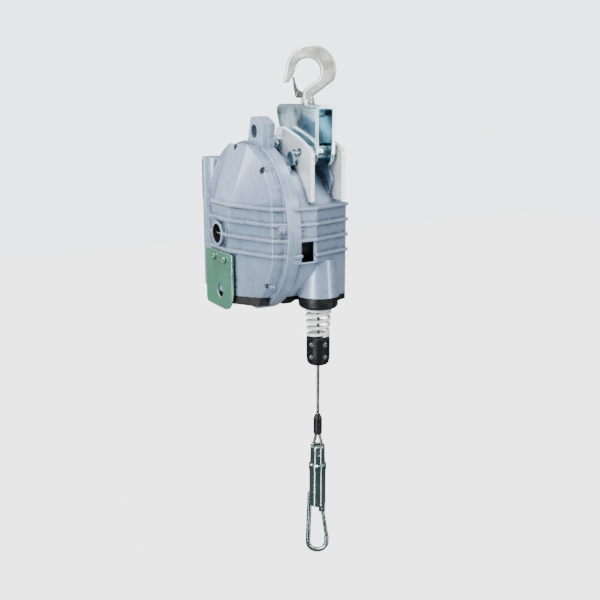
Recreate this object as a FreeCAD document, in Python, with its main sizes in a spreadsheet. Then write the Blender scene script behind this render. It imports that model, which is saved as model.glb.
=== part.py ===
"""Tool balancer: a spring-loaded rope reel in a two-part cast housing, hung from a swivel hook.

Housing coordinates are used throughout: X across the reel, Y along the drum shaft (towards the
rear), Z up, with the origin on the shaft axis in the parting plane of the two castings.  Every
finished piece is then shifted by hang_x, hang_y, hang_z, which puts the part's own origin in the
bowl of the top hook, where the balancer hangs.
"""
import FreeCAD, Part
import math
import os
import re
import Sketcher

Vector = FreeCAD.Vector
doc = FreeCAD.newDocument("tool_balancer")

# ---------------------------------------------------------------- driving dimensions (mm, degrees)
SIZES = {
    # place of the housing's origin under the hook's bowl
    "hang_x": -55, "hang_y": -59, "hang_z": -249,
    # castings: joint flange, faceted front bonnet, turned rear bowl with its boxed side
    "flange_r": 125, "flange_t": 10, "casing_z": 8, "flange_low": -115, "casing_low": -88,
    "wall_t": 4, "shoulder_r": 121, "crease_y": 25.5, "crease_x": 105, "crease_r": 140,
    "crease_high": 60, "crease_low": -32, "crease_top": 128, "front_y": 56, "strip_half": 30,
    "strip_top": 38, "rear_r": 118, "side_x": 120, "side_y": 37, "rear_y": 99, "rear_end_r": 98,
    "rib_h": 4.5, "rib_t": 4, "rib_top": 43, "rib_pitch": 22,
    "boss_r": 18, "boss_y": 63, "screw_ring_r": 116, "screw_boss_r": 5.5, "screw_boss_y": 17,
    "lug_hole_x": 20, "lug_hole_z": 147, "lug_hole_r": 9.75, "lug_top": 168, "lug_right": 48,
    # rope line, tower, guide and window
    "rope_x": 88, "rope_y": 59, "rope_r": 2.5,
    "tower_top_r": 25, "tower_low_r": 31, "tower_top": -33, "guide_t": 8, "guide_boss_r": 29,
    "guide_low": -107, "guide_bore": 9, "window_high": 30, "window_wall": 3,
    # adjusting worm and wheel
    "worm_x": -109, "worm_y": -14, "column_r": 21, "column_top": 102, "column_low": -100,
    "worm_tip_r": 16, "worm_root_r": 12.8, "worm_journal_r": 7, "thread_t": 3.4,
    "wheel_tip_r": 95.5, "wheel_t": 14, "wheel_teeth": 60, "tooth_depth": 3.2, "space_w": 5.8,
    # shaft, drum and spring
    "shaft_r": 11, "shaft_front": -50, "shaft_rear": 96.5, "tang_t": 2.4, "bush_t": 3,
    "run_gap": 0.05, "near_gap": 0.3, "bearing_r": 22, "bearing_t": 10,
    "case_r": 94, "case_front": 8, "case_rear": 44, "case_wall": 3, "arbor_r": 24,
    "spring_t": 1.2, "spring_turns": 8, "spring_in_r": 27, "spring_out_r": 90.1,
    "drum_rear": 82, "drum_slope": 0.2, "drum_wall": 8, "groove_pitch": 6.5,
    # ears, bracket and pin
    "ear_t": 6, "ear_y": 31, "cast_ear_t": 5, "pin_x": 82, "pin_z": 120, "pin_r": 6,
    "ear_bolt_r": 6, "spacer_r": 9, "roller_r": 12, "bracket_w": 32, "bracket_t": 5, "bracket_top": 184.5,
    "bracket_left": -10, "bracket_right": 106, "bracket_tip_r": 23, "bend_r": 7,
    # top hook, in its own plane about the bowl
    "hook_in_r": 18, "hook_out_r": 36, "hook_t": 18, "hook_turn": 61, "shank_r": 7.5,
    "collar_t": 4, "washer_t": 1.2, "hook_nut_af": 17, "hook_nut_t": 11, "hook_thread_r": 6, "latch_pin_r": 2,
    "latch_w": 12, "latch_t": 1.8,
    # load end, heights from the shaft axis
    "stop_spring_low": -150.5, "stop_spring_r": 17.8, "stop_spring_low_r": 15.2,
    "spring_wire": 4.4, "stop_top": -151, "stop_low": -194, "stop_r": 17.5,
    "sleeve_top": -274.7, "sleeve_low": -305.6, "sleeve_r": 6.6, "eye_r": 8, "eye_z": -334,
    "eye_pin_r": 4, "fork_top": -324, "fork_low": -352.4, "fork_r": 11.5, "fork_slot": 6.4,
    "collar_low": -363.3, "swivel_collar_r": 13.5, "barrel_r": 12.7, "barrel_low": -423,
    "stem_r": 5, "stem_head_r": 8.5, "snap_low": -504, "snap_half": 14.5, "snap_wire": 7.5,
    "gate_wire": 6, "load_turn": 61,
    "cover_screw_r": 2.5, "lock_screw_r": 3, "lock_screw_x": 18,
    # lock plate on the front, black sump covers
    "lock_left": -51, "lock_right": 41.5, "lock_t": 3, "lock_top": -27, "lock_low": -112,
    "lock_hole_r": 10.5, "lock_hole_z": -86, "sump_low": -101, "sump_wall": 2.5,
}
dims = doc.addObject("Spreadsheet::Sheet", "dims")
for row, (word, number) in enumerate(SIZES.items(), 1):
    dims.set("A%d" % row, word)
    dims.set("B%d" % row, str(number))
    dims.setAlias("B%d" % row, word)
doc.recompute()

nodes = {}


# ---------------------------------------------------------------- small building tools
def bound(text):
    """Expression text with every driving dimension looked up in the sheet."""
    return re.sub(r"[a-z]+_[a-z_]+", lambda word: "dims." + word.group(0), str(text))


def size(text):
    """Present value of an expression over the sheet."""
    return float(dims.evalExpression(bound(text)))


def unique(name):
    return name + "_%d" % len(doc.Objects)


def outline(owner, name, points):
    """Closed sketch through points (x, y) or (x, y, radius): a radius makes the edge that arrives
    at the point an arc, bulging to the right of travel, or to the left when it starts with -."""
    sketch = owner.newObject("Sketcher::SketchObject", unique(name))
    corners = [Vector(size(point[0]), size(point[1]), 0) for point in points]
    ends = []
    for i, start in enumerate(corners):
        following = points[(i + 1) % len(points)]
        stop = corners[(i + 1) % len(points)]
        if len(following) == 2:
            edge = sketch.addGeometry(Part.LineSegment(start, stop), False)
            ends.append((edge, 1, 2))
            continue
        text = following[2].lstrip("-")
        side = -1 if following[2].startswith("-") else 1
        radius = size(text)
        chord = stop - start
        rise = math.sqrt(max(radius ** 2 - chord.Length ** 2 / 4, 0))
        centre = (start + stop) * 0.5 + Vector(-chord.y, chord.x, 0).normalize() * rise * side
        turn = [math.atan2(p.y - centre.y, p.x - centre.x) for p in (start, stop)]
        circle = Part.Circle(centre, Vector(0, 0, 1), radius)
        edge = sketch.addGeometry(Part.ArcOfCircle(circle, *turn[::side]), False)
        ends.append((edge, 1, 2) if side > 0 else (edge, 2, 1))
        mark = sketch.addConstraint(Sketcher.Constraint("Radius", edge, radius))
        sketch.setExpression("Constraints[%d]" % mark, bound(text))
    for i, (edge, first, last) in enumerate(ends):
        after, after_first, _ = ends[(i + 1) % len(ends)]
        sketch.addConstraint(Sketcher.Constraint("Coincident", edge, last, after, after_first))
        for kind, text, value in (("DistanceX", points[i][0], corners[i].x),
                                  ("DistanceY", points[i][1], corners[i].y)):
            mark = sketch.addConstraint(Sketcher.Constraint(kind, -1, 1, edge, first, value))
            sketch.setExpression("Constraints[%d]" % mark, bound(text))
    return sketch


def circles(owner, name, rings):
    """Sketch of circles (x, y, radius)."""
    sketch = owner.newObject("Sketcher::SketchObject", unique(name))
    for x, y, radius in rings:
        centre = Vector(size(x), size(y), 0)
        ring = sketch.addGeometry(Part.Circle(centre, Vector(0, 0, 1), size(radius)), False)
        for kind, text, value in (("DistanceX", x, centre.x), ("DistanceY", y, centre.y)):
            mark = sketch.addConstraint(Sketcher.Constraint(kind, -1, 1, ring, 3, value))
            sketch.setExpression("Constraints[%d]" % mark, bound(text))
        mark = sketch.addConstraint(Sketcher.Constraint("Radius", ring, size(radius)))
        sketch.setExpression("Constraints[%d]" % mark, bound(radius))
    return sketch


def attach(body, sketch, plane, shift=(0, 0, 0)):
    """Put a sketch on its body's own origin plane, shifted in the plane's axes."""
    for feature in body.Origin.OriginFeatures:
        if feature.Role == plane + "_Plane":
            sketch.AttachmentSupport = (feature, "")
    sketch.MapMode = "FlatFace"
    for axis, text in zip("xyz", shift):
        sketch.setExpression("AttachmentOffset.Base." + axis, bound(text))


def slab(name, plane, points, low, high, holes=()):
    """Body padded from low to high along the normal of plane, with round holes right through."""
    body = doc.addObject("PartDesign::Body", unique(name))
    shift = "-(%s)" % high if plane == "XZ" else low
    sketch = outline(body, name + "_outline", points)
    attach(body, sketch, plane, (0, 0, shift))
    pad = body.newObject("PartDesign::Pad", unique("pad"))
    pad.Profile = sketch
    pad.setExpression("Length", bound("(%s) - (%s)" % (high, low)))
    if holes:
        drilled = circles(body, name + "_holes", holes)
        attach(body, drilled, plane, (0, 0, shift))
        pocket = body.newObject("PartDesign::Pocket", unique("holes"))
        pocket.Profile = drilled
        pocket.Type = "ThroughAll"
        pocket.Midplane = True
    return body


def turned(name, axis, points, at=(0, 0)):
    """Body turned about a line along Y or Z; points are (radius, place along the axis)."""
    body = doc.addObject("PartDesign::Body", unique(name))
    sketch = outline(body, name + "_section", points)
    if axis == "Z":
        attach(body, sketch, "XZ", (at[0], 0, "-(%s)" % at[1]))
    else:
        attach(body, sketch, "XY", (at[0], 0, at[1]))
    spin = body.newObject("PartDesign::Revolution", unique("turn"))
    spin.Profile = sketch
    spin.ReferenceAxis = (sketch, ["V_Axis"])
    spin.Angle = 360
    return body


def tube(name, axis, outer, inner, low, high, at=(0, 0)):
    """Plain ring or sleeve."""
    return turned(name, axis, [(inner, low), (outer, low), (outer, high), (inner, high)], at)


def bar(name, axis, radius, low, high, at=(0, 0)):
    """Plain round pin."""
    return turned(name, axis, [("0", low), (radius, low), (radius, high), ("0", high)], at)


def rod(name, axis, radius, low, high, at=(0, 0)):
    """Part cylinder along an axis; at gives the other two coordinates in X, Y, Z order."""
    obj = doc.addObject("Part::Cylinder", unique(name))
    obj.setExpression("Radius", bound(radius))
    obj.setExpression("Height", bound("(%s) - (%s)" % (high, low)))
    place = {"X": (low, at[0], at[1]), "Y": (at[0], low, at[1]), "Z": (at[0], at[1], low)}[axis]
    turn = {"X": (Vector(0, 1, 0), 90), "Y": (Vector(1, 0, 0), -90), "Z": (Vector(0, 0, 1), 0)}
    obj.Placement.Rotation = FreeCAD.Rotation(*turn[axis])
    for letter, text in zip("xyz", place):
        obj.setExpression("Placement.Base." + letter, bound(text))
    return obj


def block(name, x, y, z):
    """Part box between low and high expressions on each axis."""
    obj = doc.addObject("Part::Box", unique(name))
    for side, letter, (low, high) in zip(("Length", "Width", "Height"), "xyz", (x, y, z)):
        obj.setExpression(side, bound("(%s) - (%s)" % (high, low)))
        obj.setExpression("Placement.Base." + letter, bound(low))
    return obj


def fuse(name, *pieces):
    obj = doc.addObject("Part::MultiFuse", unique(name))
    obj.Shapes = list(pieces)
    obj.Refine = True
    return obj


def common(name, base, tool):
    obj = doc.addObject("Part::Common", unique(name))
    obj.Base, obj.Tool = base, tool
    return obj


def cut(name, base, *tools):
    obj = doc.addObject("Part::Cut", unique(name))
    obj.Base = base
    obj.Tool = tools[0] if len(tools) == 1 else fuse(name + "_tools", *tools)
    return obj


def shaped(name, shape):
    """Feature whose shape is worked out here because no parametric feature makes it."""
    obj = doc.addObject("Part::Feature", unique(name))
    obj.Shape = Part.makeCompound([shape])
    return obj


def node(label, obj):
    """Name a finished piece and hang it under the hook."""
    obj.Label = label
    for letter in "xyz":
        obj.setExpression("Placement.Base." + letter, "dims.hang_" + letter)
    nodes[label] = obj
    return obj


def spread(name, piece, spots):
    """Copies of one fastener at several places: (x, y, z) or (x, y, z, turn about Z)."""
    doc.recompute()
    copies = []
    for spot in spots:
        copy = piece.Shape.copy()
        turn = spot[3] if len(spot) > 3 else 0
        place = FreeCAD.Placement(Vector(*spot[:3]), FreeCAD.Rotation(Vector(0, 0, 1), turn))
        copy.Placement = place.multiply(copy.Placement)
        copies.append(copy)
    return shaped(name, Part.makeCompound(copies))


def coil(name, radius, end_radius, wire, low, high, turns):
    """Round wire wound about Z from low to high, its radius changing evenly along the height."""
    count = int(8 * turns)
    points = []
    for i in range(count + 1):
        share = i / count
        reach = radius + (end_radius - radius) * share
        angle = 2 * math.pi * turns * share
        points.append(Vector(reach * math.cos(angle), reach * math.sin(angle),
                             low + (high - low) * share))
    line = Part.BSplineCurve()
    line.interpolate(points)
    ring = Part.Wire(Part.makeCircle(wire / 2, points[0], line.tangent(line.FirstParameter)[0]))
    return shaped(name, Part.Wire(line.toShape()).makePipeShell([ring], True, True))

# ---------------------------------------------------------------- castings
FAR = 300  # reach of the boxes that keep or remove one side of a piece


def loft(name, levels):
    """Ruled solid through outlines that lie in planes of constant Y."""
    sections = []
    for place, points in levels:
        body = doc.addObject("PartDesign::Body", unique(name + "_level"))
        sketch = outline(body, name + "_outline", points)
        attach(body, sketch, "XZ", (0, 0, "-(%s)" % place))
        sections.append(sketch)
    obj = doc.addObject("Part::Loft", unique(name))
    obj.Sections = sections
    obj.Solid = True
    obj.Ruled = True
    return obj


def bonnet(name, grow, low):
    """Front bonnet grown outwards by grow and cut level at low: from the round shoulder at the
    flange through the eight-sided crease to the upright flat strip at the front."""
    ring = "(shoulder_r + %s)" % grow
    edge = "(crease_x + %s)" % grow
    strip = "(strip_half + 0.4 * (%s))" % grow
    high_z, low_z = "crease_high", "crease_low"
    ring_top = "casing_z + sqrt(%s^2 - strip_half^2)" % ring

    def ring_x(z):
        return "sqrt(%s^2 - (%s - casing_z)^2)" % (ring, z)

    foot = "(%s - 0.68 * (crease_low - (%s)))" % (edge, low)
    shoulder = [("strip_half", ring_top), ("-strip_half", ring_top),
                ("-" + ring_x(high_z), high_z, ring), ("-" + ring_x(low_z), low_z, ring),
                ("-" + ring_x(low), low, ring), (ring_x(low), low),
                (ring_x(low_z), low_z, ring), (ring_x(high_z), high_z, ring)]
    shoulder[0] = shoulder[0] + (ring,)
    top = "crease_top + 0.7 * (%s)" % grow
    crease = [("strip_half", top, "crease_r"), ("-strip_half", top), ("-" + edge, high_z, "crease_r"),
              ("-" + edge, low_z), ("-" + foot, low, "crease_r"), (foot, low),
              (edge, low_z, "crease_r"), (edge, high_z)]
    front = [(strip, "strip_top"), ("-" + strip, "strip_top"), ("-" + strip, "strip_top - 10"),
             ("-" + strip, low_z), ("-" + strip, low), (strip, low), (strip, low_z),
             (strip, "strip_top - 10")]
    return loft(name, [("0", shoulder), ("-(crease_y + 0.6 * (%s))" % grow, crease),
                       ("-(front_y + %s)" % grow, front)])


def bowl(name, grow, low):
    """Rear casing turned about the shaft axis, with a boxed side for the rope, cut level at low."""
    g = "(%s)" % grow
    round_part = turned(name + "_round", "Y", [
        ("0", "0"), ("rear_r + " + g, "0"), ("rear_r + " + g, "side_y"),
        ("rear_end_r + " + g, "rear_y + " + g), ("0", "rear_y + " + g)])
    upper = slab(name + "_upper_side", "XY", [
        ("0", "0"), ("side_x + " + g, "0"), ("side_x + " + g, "side_y"),
        ("rear_end_r + " + g, "rear_y + " + g), ("0", "rear_y + " + g)],
        "tower_top", "rib_top + rib_t + " + g)
    lower = slab(name + "_lower_side", "XY", [
        ("0", "rope_y"), ("rope_x", "rope_y"),
        ("side_x + %s - (side_x - rear_end_r) * (rope_y - side_y) / (rear_y - side_y)" % g, "rope_y"),
        ("rear_end_r + " + g, "rear_y + " + g), ("0", "rear_y + " + g)],
        low, "tower_top")
    keep = block(name + "_keep", (-FAR, FAR), (-1, FAR), (low, FAR))
    return common(name + "_cut", fuse(name + "_all", round_part, upper, lower), keep)


def ribs(name, form, front, rear):
    """Four level ribs: slices of a grown casing."""
    slices = [block(name + "_slice", (-FAR, FAR), (front, rear),
                    ("rib_top - %d * rib_pitch" % i, "rib_top - %d * rib_pitch + rib_t" % i))
              for i in range(4)]
    return common(name, form, fuse(name + "_slices", *slices))


def flange(name, low, high):
    """One half of the joint flange with its half of the safety lug."""
    disc = turned(name + "_disc", "Y", [("0", low), ("flange_r", low), ("flange_r", high),
                                        ("0", high)], ("0", "casing_z"))
    lug = slab(name + "_lug", "XZ", [
        ("-8", "casing_z + 100"), ("lug_right - 4", "casing_z + 100"), ("lug_right", "lug_top - 9"),
        ("lug_hole_x + 6", "lug_top"), ("lug_hole_x - 4", "lug_top"),
        ("lug_hole_x - 12", "lug_top - 8", "9"), ("lug_hole_x - 22", "casing_z + 121")], low, high)
    keep = block(name + "_keep", (-FAR, FAR), (-50, 50), ("flange_low", FAR))
    return common(name, fuse(name + "_all", disc, lug), keep)


def column(name, front, rear):
    """The part of the worm's upright round housing that lies between two planes."""
    round_part = rod(name + "_round", "Z", "column_r", "column_low", "column_top",
                     ("worm_x", "worm_y"))
    keep = block(name + "_keep", (-FAR, 0), (front, rear), (-FAR, FAR))
    return common(name, round_part, keep)


def ring_places(radius, count, first=0):
    """Places round the casing's centre, as (x, z) numbers."""
    angles = [math.radians(first + 360 * i / count) for i in range(count)]
    return [(size(radius) * math.cos(a), size("casing_z") + size(radius) * math.sin(a))
            for a in angles]


SCREW_PLACES = [place for place in ring_places("screw_ring_r", 8, 4) if place[0] > -80]
worm_bore = rod("worm_bore", "Z", "worm_tip_r + 1.5", "column_low + 8", "column_top - 8",
                ("worm_x", "worm_y"))
worm_exit = rod("worm_exit", "Z", "worm_journal_r + bush_t", "column_low - 1", "column_low + 9",
                ("worm_x", "worm_y"))
lug_drill = rod("lug_drill", "Y", "lug_hole_r", "-20", "20", ("lug_hole_x", "lug_hole_z"))
flange_bore = turned("flange_bore", "Y", [
    ("0", "-flange_t - 1"), ("shoulder_r - 12", "-flange_t - 1"),
    ("shoulder_r - 12", "flange_t + 1"), ("0", "flange_t + 1")], ("0", "casing_z"))
flange_bore_keep = block("flange_bore_keep", (-FAR, FAR), (-50, 50), ("flange_low + 8", FAR))
joint_opening = common("joint_opening", flange_bore, flange_bore_keep)

plate_pad = block("plate_pad", ("worm_x - column_r", "worm_x"), ("worm_y - 15", "-0.5"),
                  ("column_top - 66", "column_top - 4"))
cover_screw_drills = [rod("cover_screw_drill", "X", "cover_screw_r + run_gap", -FAR, "worm_x - 17",
                          ("worm_y", z)) for z in ("column_top - 12", "column_top - 58")]
front_skin = cut("front_skin",
                 fuse("front_solid", bonnet("bonnet", "0", "casing_low"),
                      ribs("front_ribs", bonnet("rib_bonnet", "rib_h", "casing_low"), -100, -1),
                      flange("front_flange", "-flange_t", "0"), column("front_column", -50, 0),
                      plate_pad, rod("front_boss", "Y", "boss_r", "-boss_y", "-front_y + 2")),
                 bonnet("bonnet_room", "-wall_t", "casing_low - 1"), joint_opening, worm_bore,
                 worm_exit, lug_drill, *cover_screw_drills)
front_bosses = [rod("front_screw_boss", "Y", "screw_boss_r", "-screw_boss_y", "0", place)
                for place in SCREW_PLACES]
seat_walls = common("seat_walls", bonnet("seat_bonnet", "0", "casing_low"),
                    fuse("seat_rods", *[rod("seat_rod", "Y", "screw_boss_r + 2.5", "-34", "0", place)
                                        for place in SCREW_PLACES]))
screw_seats = [rod("screw_seat", "Y", "screw_boss_r - 0.1", "-60", "-screw_boss_y", place)
               for place in SCREW_PLACES]
lock_screw_drills = [rod("lock_screw_drill", "Y", "lock_screw_r + run_gap", "-front_y - 5",
                         "-front_y + 12", (x, "lock_top - 10"))
                     for x in ("-lock_screw_x", "lock_screw_x")]
front_inner_boss = rod("front_inner_boss", "Y", "boss_r", "-front_y + 1", "-front_y + 20")
screw_drills = fuse("screw_drills", *[rod("screw_drill", "Y", "3", "-20", "20", place)
                                      for place in SCREW_PLACES])
shaft_bore = "shaft_r + bush_t"
front_shaft_bore = rod("front_shaft_bore", "Y", shaft_bore, "-boss_y - 1", "-front_y + 21")
node("front_cover", cut("front_cover", fuse("front_bossed", front_skin, front_inner_boss,
                                            seat_walls, *front_bosses),
                        screw_drills, worm_bore, *screw_seats, *lock_screw_drills,
                        front_shaft_bore))

tower = doc.addObject("Part::Cone", "tower")
for side, text in (("Radius1", "tower_low_r"), ("Radius2", "tower_top_r"),
                   ("Height", "tower_top - casing_low"), ("Placement.Base.x", "rope_x"),
                   ("Placement.Base.y", "rope_y"), ("Placement.Base.z", "casing_low")):
    tower.setExpression(side, bound(text))
rib_reach = block("rib_reach", (-FAR, FAR), (0, "rear_y"), (-FAR, FAR))
bolt_places = [("16", "casing_z + 121"), ("69.5", "casing_z + 103")]
cast_ears = [slab("cast_ear", "XZ", [
    ("2", "80"), ("80", "50"), ("96", "80"), ("72", "casing_z + 112"), ("26", "casing_z + 138"),
    ("2", "casing_z + 134")], low, high, [(x, z, "ear_bolt_r + run_gap") for x, z in bolt_places])
    for low, high in (("ear_y + ear_t", "ear_y + ear_t + cast_ear_t"),
                      ("2 * rope_y - ear_y - ear_t - cast_ear_t", "2 * rope_y - ear_y - ear_t"))]
spacer_room = rod("spacer_room", "Y", "spacer_r + 1", "ear_y", "2 * rope_y - ear_y",
                  ("pin_x", "pin_z"))
window = block("window", ("side_x - 20", "side_x + 20"), ("flange_t + window_wall",
                                                         "side_y - window_wall"),
               ("rib_top - 2 * rib_pitch - window_high", "rib_top - 2 * rib_pitch"))
rear_skin = cut("rear_skin",
                fuse("rear_solid", bowl("bowl", "0", "casing_low"),
                     common("rear_ribs", ribs("rear_rib", bowl("rib_bowl", "rib_h", "casing_low"),
                                              1, 200), rib_reach),
                     flange("rear_flange", "0", "flange_t"), column("rear_column", 0, 50), tower,
                     *cast_ears),
                bowl("bowl_room", "-wall_t", "casing_low - 1"), joint_opening, worm_bore,
                lug_drill, window, spacer_room,
                rod("rope_way", "Z", "guide_bore + 4", "casing_low - 1", "tower_top + 1",
                    ("rope_x", "rope_y")))
rear_bosses = [rod("rear_screw_boss", "Y", "screw_boss_r", "0", "screw_boss_y", place)
               for place in SCREW_PLACES]
rear_inner_boss = rod("rear_inner_boss", "Y", "boss_r + 2", "rear_y - 13", "rear_y")
node("rear_housing", cut("rear_housing", fuse("rear_bossed", rear_skin, rear_inner_boss,
                                              *rear_bosses),
                         screw_drills, rod("rear_shaft_bore", "Y", shaft_bore, "rear_y - 14",
                                           "rear_y - 2")))


# ---------------------------------------------------------------- covers and casing fasteners
def socket_screw(name, radius, length, head_r, head_h):
    """Socket-head screw lying along Y, its head's outer face at Y = 0 and the shank behind it."""
    blank = turned(name, "Y", [("0", 0), (head_r, 0), (head_r, head_h), (radius, head_h),
                               (radius, "%s + %s" % (head_h, length)),
                               ("0", "%s + %s" % (head_h, length))])
    socket = doc.addObject("Part::Prism", unique("socket"))
    socket.Polygon = 6
    socket.setExpression("Circumradius", bound("0.55 * %s" % head_r))
    socket.setExpression("Height", bound("0.6 * %s" % head_h))
    socket.Placement = FreeCAD.Placement(Vector(0, -0.01, 0), FreeCAD.Rotation(Vector(1, 0, 0), -90))
    return cut(name + "_blank", blank, socket)


def hex_bolt(name, radius, length, flats, head_h):
    """Hexagon bolt along Y: washer under the head, shank running to +Y from Y = 0."""
    head = doc.addObject("Part::Prism", unique("hexagon"))
    head.Polygon = 6
    head.setExpression("Circumradius", bound("(%s) / sqrt(3)" % flats))
    head.setExpression("Height", bound(head_h))
    head.Placement = FreeCAD.Placement(Vector(0, 0, 0), FreeCAD.Rotation(Vector(1, 0, 0), 90))
    head.setExpression("Placement.Base.y", bound("-0.25 * %s" % radius))
    return fuse(name, head, rod(name + "_shank", "Y", radius, "-1", length),
                rod(name + "_washer", "Y", "2 * %s" % radius, "-0.4 * %s" % radius, "0"))


flange_screw = socket_screw("flange_screw", "3 - near_gap / 3", "2 * screw_boss_y - 4", "4.6", "4")
front_of_boss = -size("screw_boss_y") - 4
node("flange_screws", spread("flange_screws", flange_screw,
                             [(x, front_of_boss, z) for x, z in SCREW_PLACES]))


def sump(name, points, inner, low, high):
    """Black tray under a casting: a shallow open-topped box with rounded corners."""
    return cut(name, slab(name + "_out", "XY", points, low, high),
               slab(name + "_in", "XY", inner, "%s + sump_wall" % low, "%s + 1" % high))


node("front_sump", sump("front_sump", [
    ("-66", "-flange_t - near_gap"), ("-66", "-27"), ("-31", "-front_y + 3"), ("31", "-front_y + 3"),
    ("66", "-27"), ("66", "-flange_t - near_gap")], [
    ("-66 + sump_wall", "0"), ("-66 + sump_wall", "-28"),
    ("-30", "-front_y + 3 + sump_wall"), ("30", "-front_y + 3 + sump_wall"),
    ("66 - sump_wall", "-28"), ("66 - sump_wall", "0")],
    "sump_low", "casing_low"))
node("rear_sump", sump("rear_sump", [
    ("-72", "flange_t + near_gap"), ("68", "flange_t + near_gap"), ("68", "rope_y - tower_low_r - 4"),
    ("54", "rope_y - 20"), ("54", "rear_y - 4"), ("-44", "rear_y - 4"), ("-72", "side_y")], [
    ("-72 + sump_wall", "0"), ("68 - sump_wall", "0"),
    ("68 - sump_wall", "rope_y - tower_low_r - 5"), ("54 - sump_wall", "rope_y - 20"),
    ("54 - sump_wall", "rear_y - 4 - sump_wall"), ("-43", "rear_y - 4 - sump_wall"),
    ("-72 + sump_wall", "side_y")], "sump_low", "casing_low"))

guide_flat = "side_x - (side_x - rear_end_r) * (rope_y - side_y) / (rear_y - side_y)"
guide_plate = slab("guide_plate", "XY", [
    ("rope_x - 29", "rope_y"), ("rope_x", "rope_y - tower_low_r", "tower_low_r"),
    ("rope_x + 28", "rope_y - 12", "tower_low_r"), (guide_flat, "rope_y + 10"),
    ("rear_end_r", "rear_y"), ("rope_x - 29", "rear_y")], "casing_low - guide_t", "casing_low")
guide_boss = turned("guide_boss", "Z", [
    ("guide_bore", "guide_low"), ("guide_bore + 3", "guide_low"),
    ("guide_boss_r - 4", "guide_low + 1"), ("guide_boss_r", "guide_low + 5", "6"),
    ("guide_boss_r", "casing_low - guide_t + 1"), ("guide_bore", "casing_low - guide_t + 1")],
    ("rope_x", "rope_y"))
node("rope_guide", cut("rope_guide", fuse("guide_all", guide_plate, guide_boss),
                       rod("guide_way", "Z", "guide_bore", "guide_low - 1", "casing_low + 1",
                           ("rope_x", "rope_y"))))

lock_plate = slab("lock_plate", "XZ", [
    ("lock_left", "lock_low + 8"), ("lock_left + 8", "lock_low", "8"),
    ("lock_right - 28", "lock_low"), ("lock_right", "lock_low + 28", "28"),
    ("lock_right", "lock_top - 3"), ("lock_right - 3", "lock_top", "3"),
    ("lock_left + 3", "lock_top"), ("lock_left", "lock_top - 3", "3")],
    "-front_y - lock_t", "-front_y",
    [("0", "lock_hole_z", "lock_hole_r"),
     ("-lock_screw_x", "lock_top - 10", "lock_screw_r + run_gap"),
     ("lock_screw_x", "lock_top - 10", "lock_screw_r + run_gap")])
node("lock_plate", lock_plate)
small_screw = socket_screw("small_screw", "lock_screw_r", "10", "5", "3")
node("lock_plate_screws", spread("lock_plate_screws", small_screw, [
    (x * size("lock_screw_x"), -size("front_y + lock_t") - 3, size("lock_top - 10"))
    for x in (-1, 1)]))
node("worm_cover_plate", slab("worm_cover_plate", "YZ", [
    ("worm_y - 14", "column_top - 64"), ("-1.5", "column_top - 64"), ("-1.5", "column_top - 6"),
    ("worm_y - 14", "column_top - 6")], "worm_x - column_r - 2", "worm_x - column_r",
    [("worm_y", "column_top - 12", "cover_screw_r + run_gap"),
     ("worm_y", "column_top - 58", "cover_screw_r + run_gap")]))
side_screw = socket_screw("side_screw", "cover_screw_r", "4.4", "4.4", "3")
doc.recompute()
side_shape = side_screw.Shape.copy()
side_shape.rotate(Vector(0, 0, 0), Vector(0, 0, 1), -90)
node("worm_cover_screws", spread("worm_cover_screws", shaped("side_screw_turned", side_shape), [
    (size("worm_x - column_r - 2") - 3, size("worm_y"), size("column_top") - z)
    for z in (12, 58)]))

# ---------------------------------------------------------------- shaft, bushes, worm and wheel
shaft = turned("shaft", "Y", [("0", "shaft_front"), ("shaft_r", "shaft_front"),
                              ("shaft_r", "shaft_rear"), ("0", "shaft_rear")])
tang = common("tang", block("tang_bar", (-20, 20), ("shaft_front - 9", "shaft_front + 1"),
                            ("-tang_t / 2", "tang_t / 2")),
              rod("tang_round", "Y", "shaft_r", "shaft_front - 10", "shaft_front + 2"))
node("main_shaft", fuse("main_shaft", shaft, tang))
node("front_shaft_bush", tube("front_shaft_bush", "Y", "shaft_r + bush_t", "shaft_r + run_gap",
                              "-front_y + 8", "-front_y + 20"))
node("rear_shaft_bush", tube("rear_shaft_bush", "Y", "shaft_r + bush_t", "shaft_r + run_gap",
                             "rear_y - 13", "rear_y - 2"))
node("shaft_retaining_ring", tube("shaft_retaining_ring", "Y", "shaft_r + 4", "shaft_r + run_gap",
                                  "-front_y + 21", "-front_y + 23"))

mesh_r = "(wheel_tip_r - 1.2)"
worm_pitch = size("2 * pi * %s / wheel_teeth" % mesh_r)
lead = math.degrees(math.atan(worm_pitch / (2 * math.pi * size("worm_tip_r - 1.2"))))
wheel_low = "worm_y - wheel_t / 2"
wheel_high = "worm_y + wheel_t / 2"


def worm_wheel():
    """Bronze wheel on a webbed hub; every tooth space leans by the worm's lead angle."""
    low, high = size(wheel_low), size(wheel_high)
    tip, face = size("wheel_tip_r"), size("wheel_t")
    blank = turned("wheel_blank", "Y", [
        ("shaft_r + run_gap", low - 4), ("shaft_r + 9", low - 4), ("shaft_r + 9", low + 3),
        ("wheel_tip_r - 10", low + 3), ("wheel_tip_r - 10", low), ("wheel_tip_r", low),
        ("wheel_tip_r", high), ("wheel_tip_r - 10", high), ("wheel_tip_r - 10", high - 3),
        ("shaft_r + 9", high - 3), ("shaft_r + 9", high + 4), ("shaft_r + run_gap", high + 4)])
    doc.recompute()
    width, depth = size("space_w"), size("tooth_depth")
    space = Part.makeBox(depth + 3, 2 * face, width, Vector(-tip - 3, -face, -width / 2))
    space.rotate(Vector(0, 0, 0), Vector(1, 0, 0), lead)
    space.translate(Vector(0, size("worm_y"), 0))
    count = int(size("wheel_teeth"))
    spaces = []
    for i in range(count):
        one = space.copy()
        one.rotate(Vector(0, 0, 0), Vector(0, 1, 0), 360 * i / count)
        spaces.append(one)
    return shaped("worm_wheel", blank.Shape.cut(Part.makeCompound(spaces)))


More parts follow.
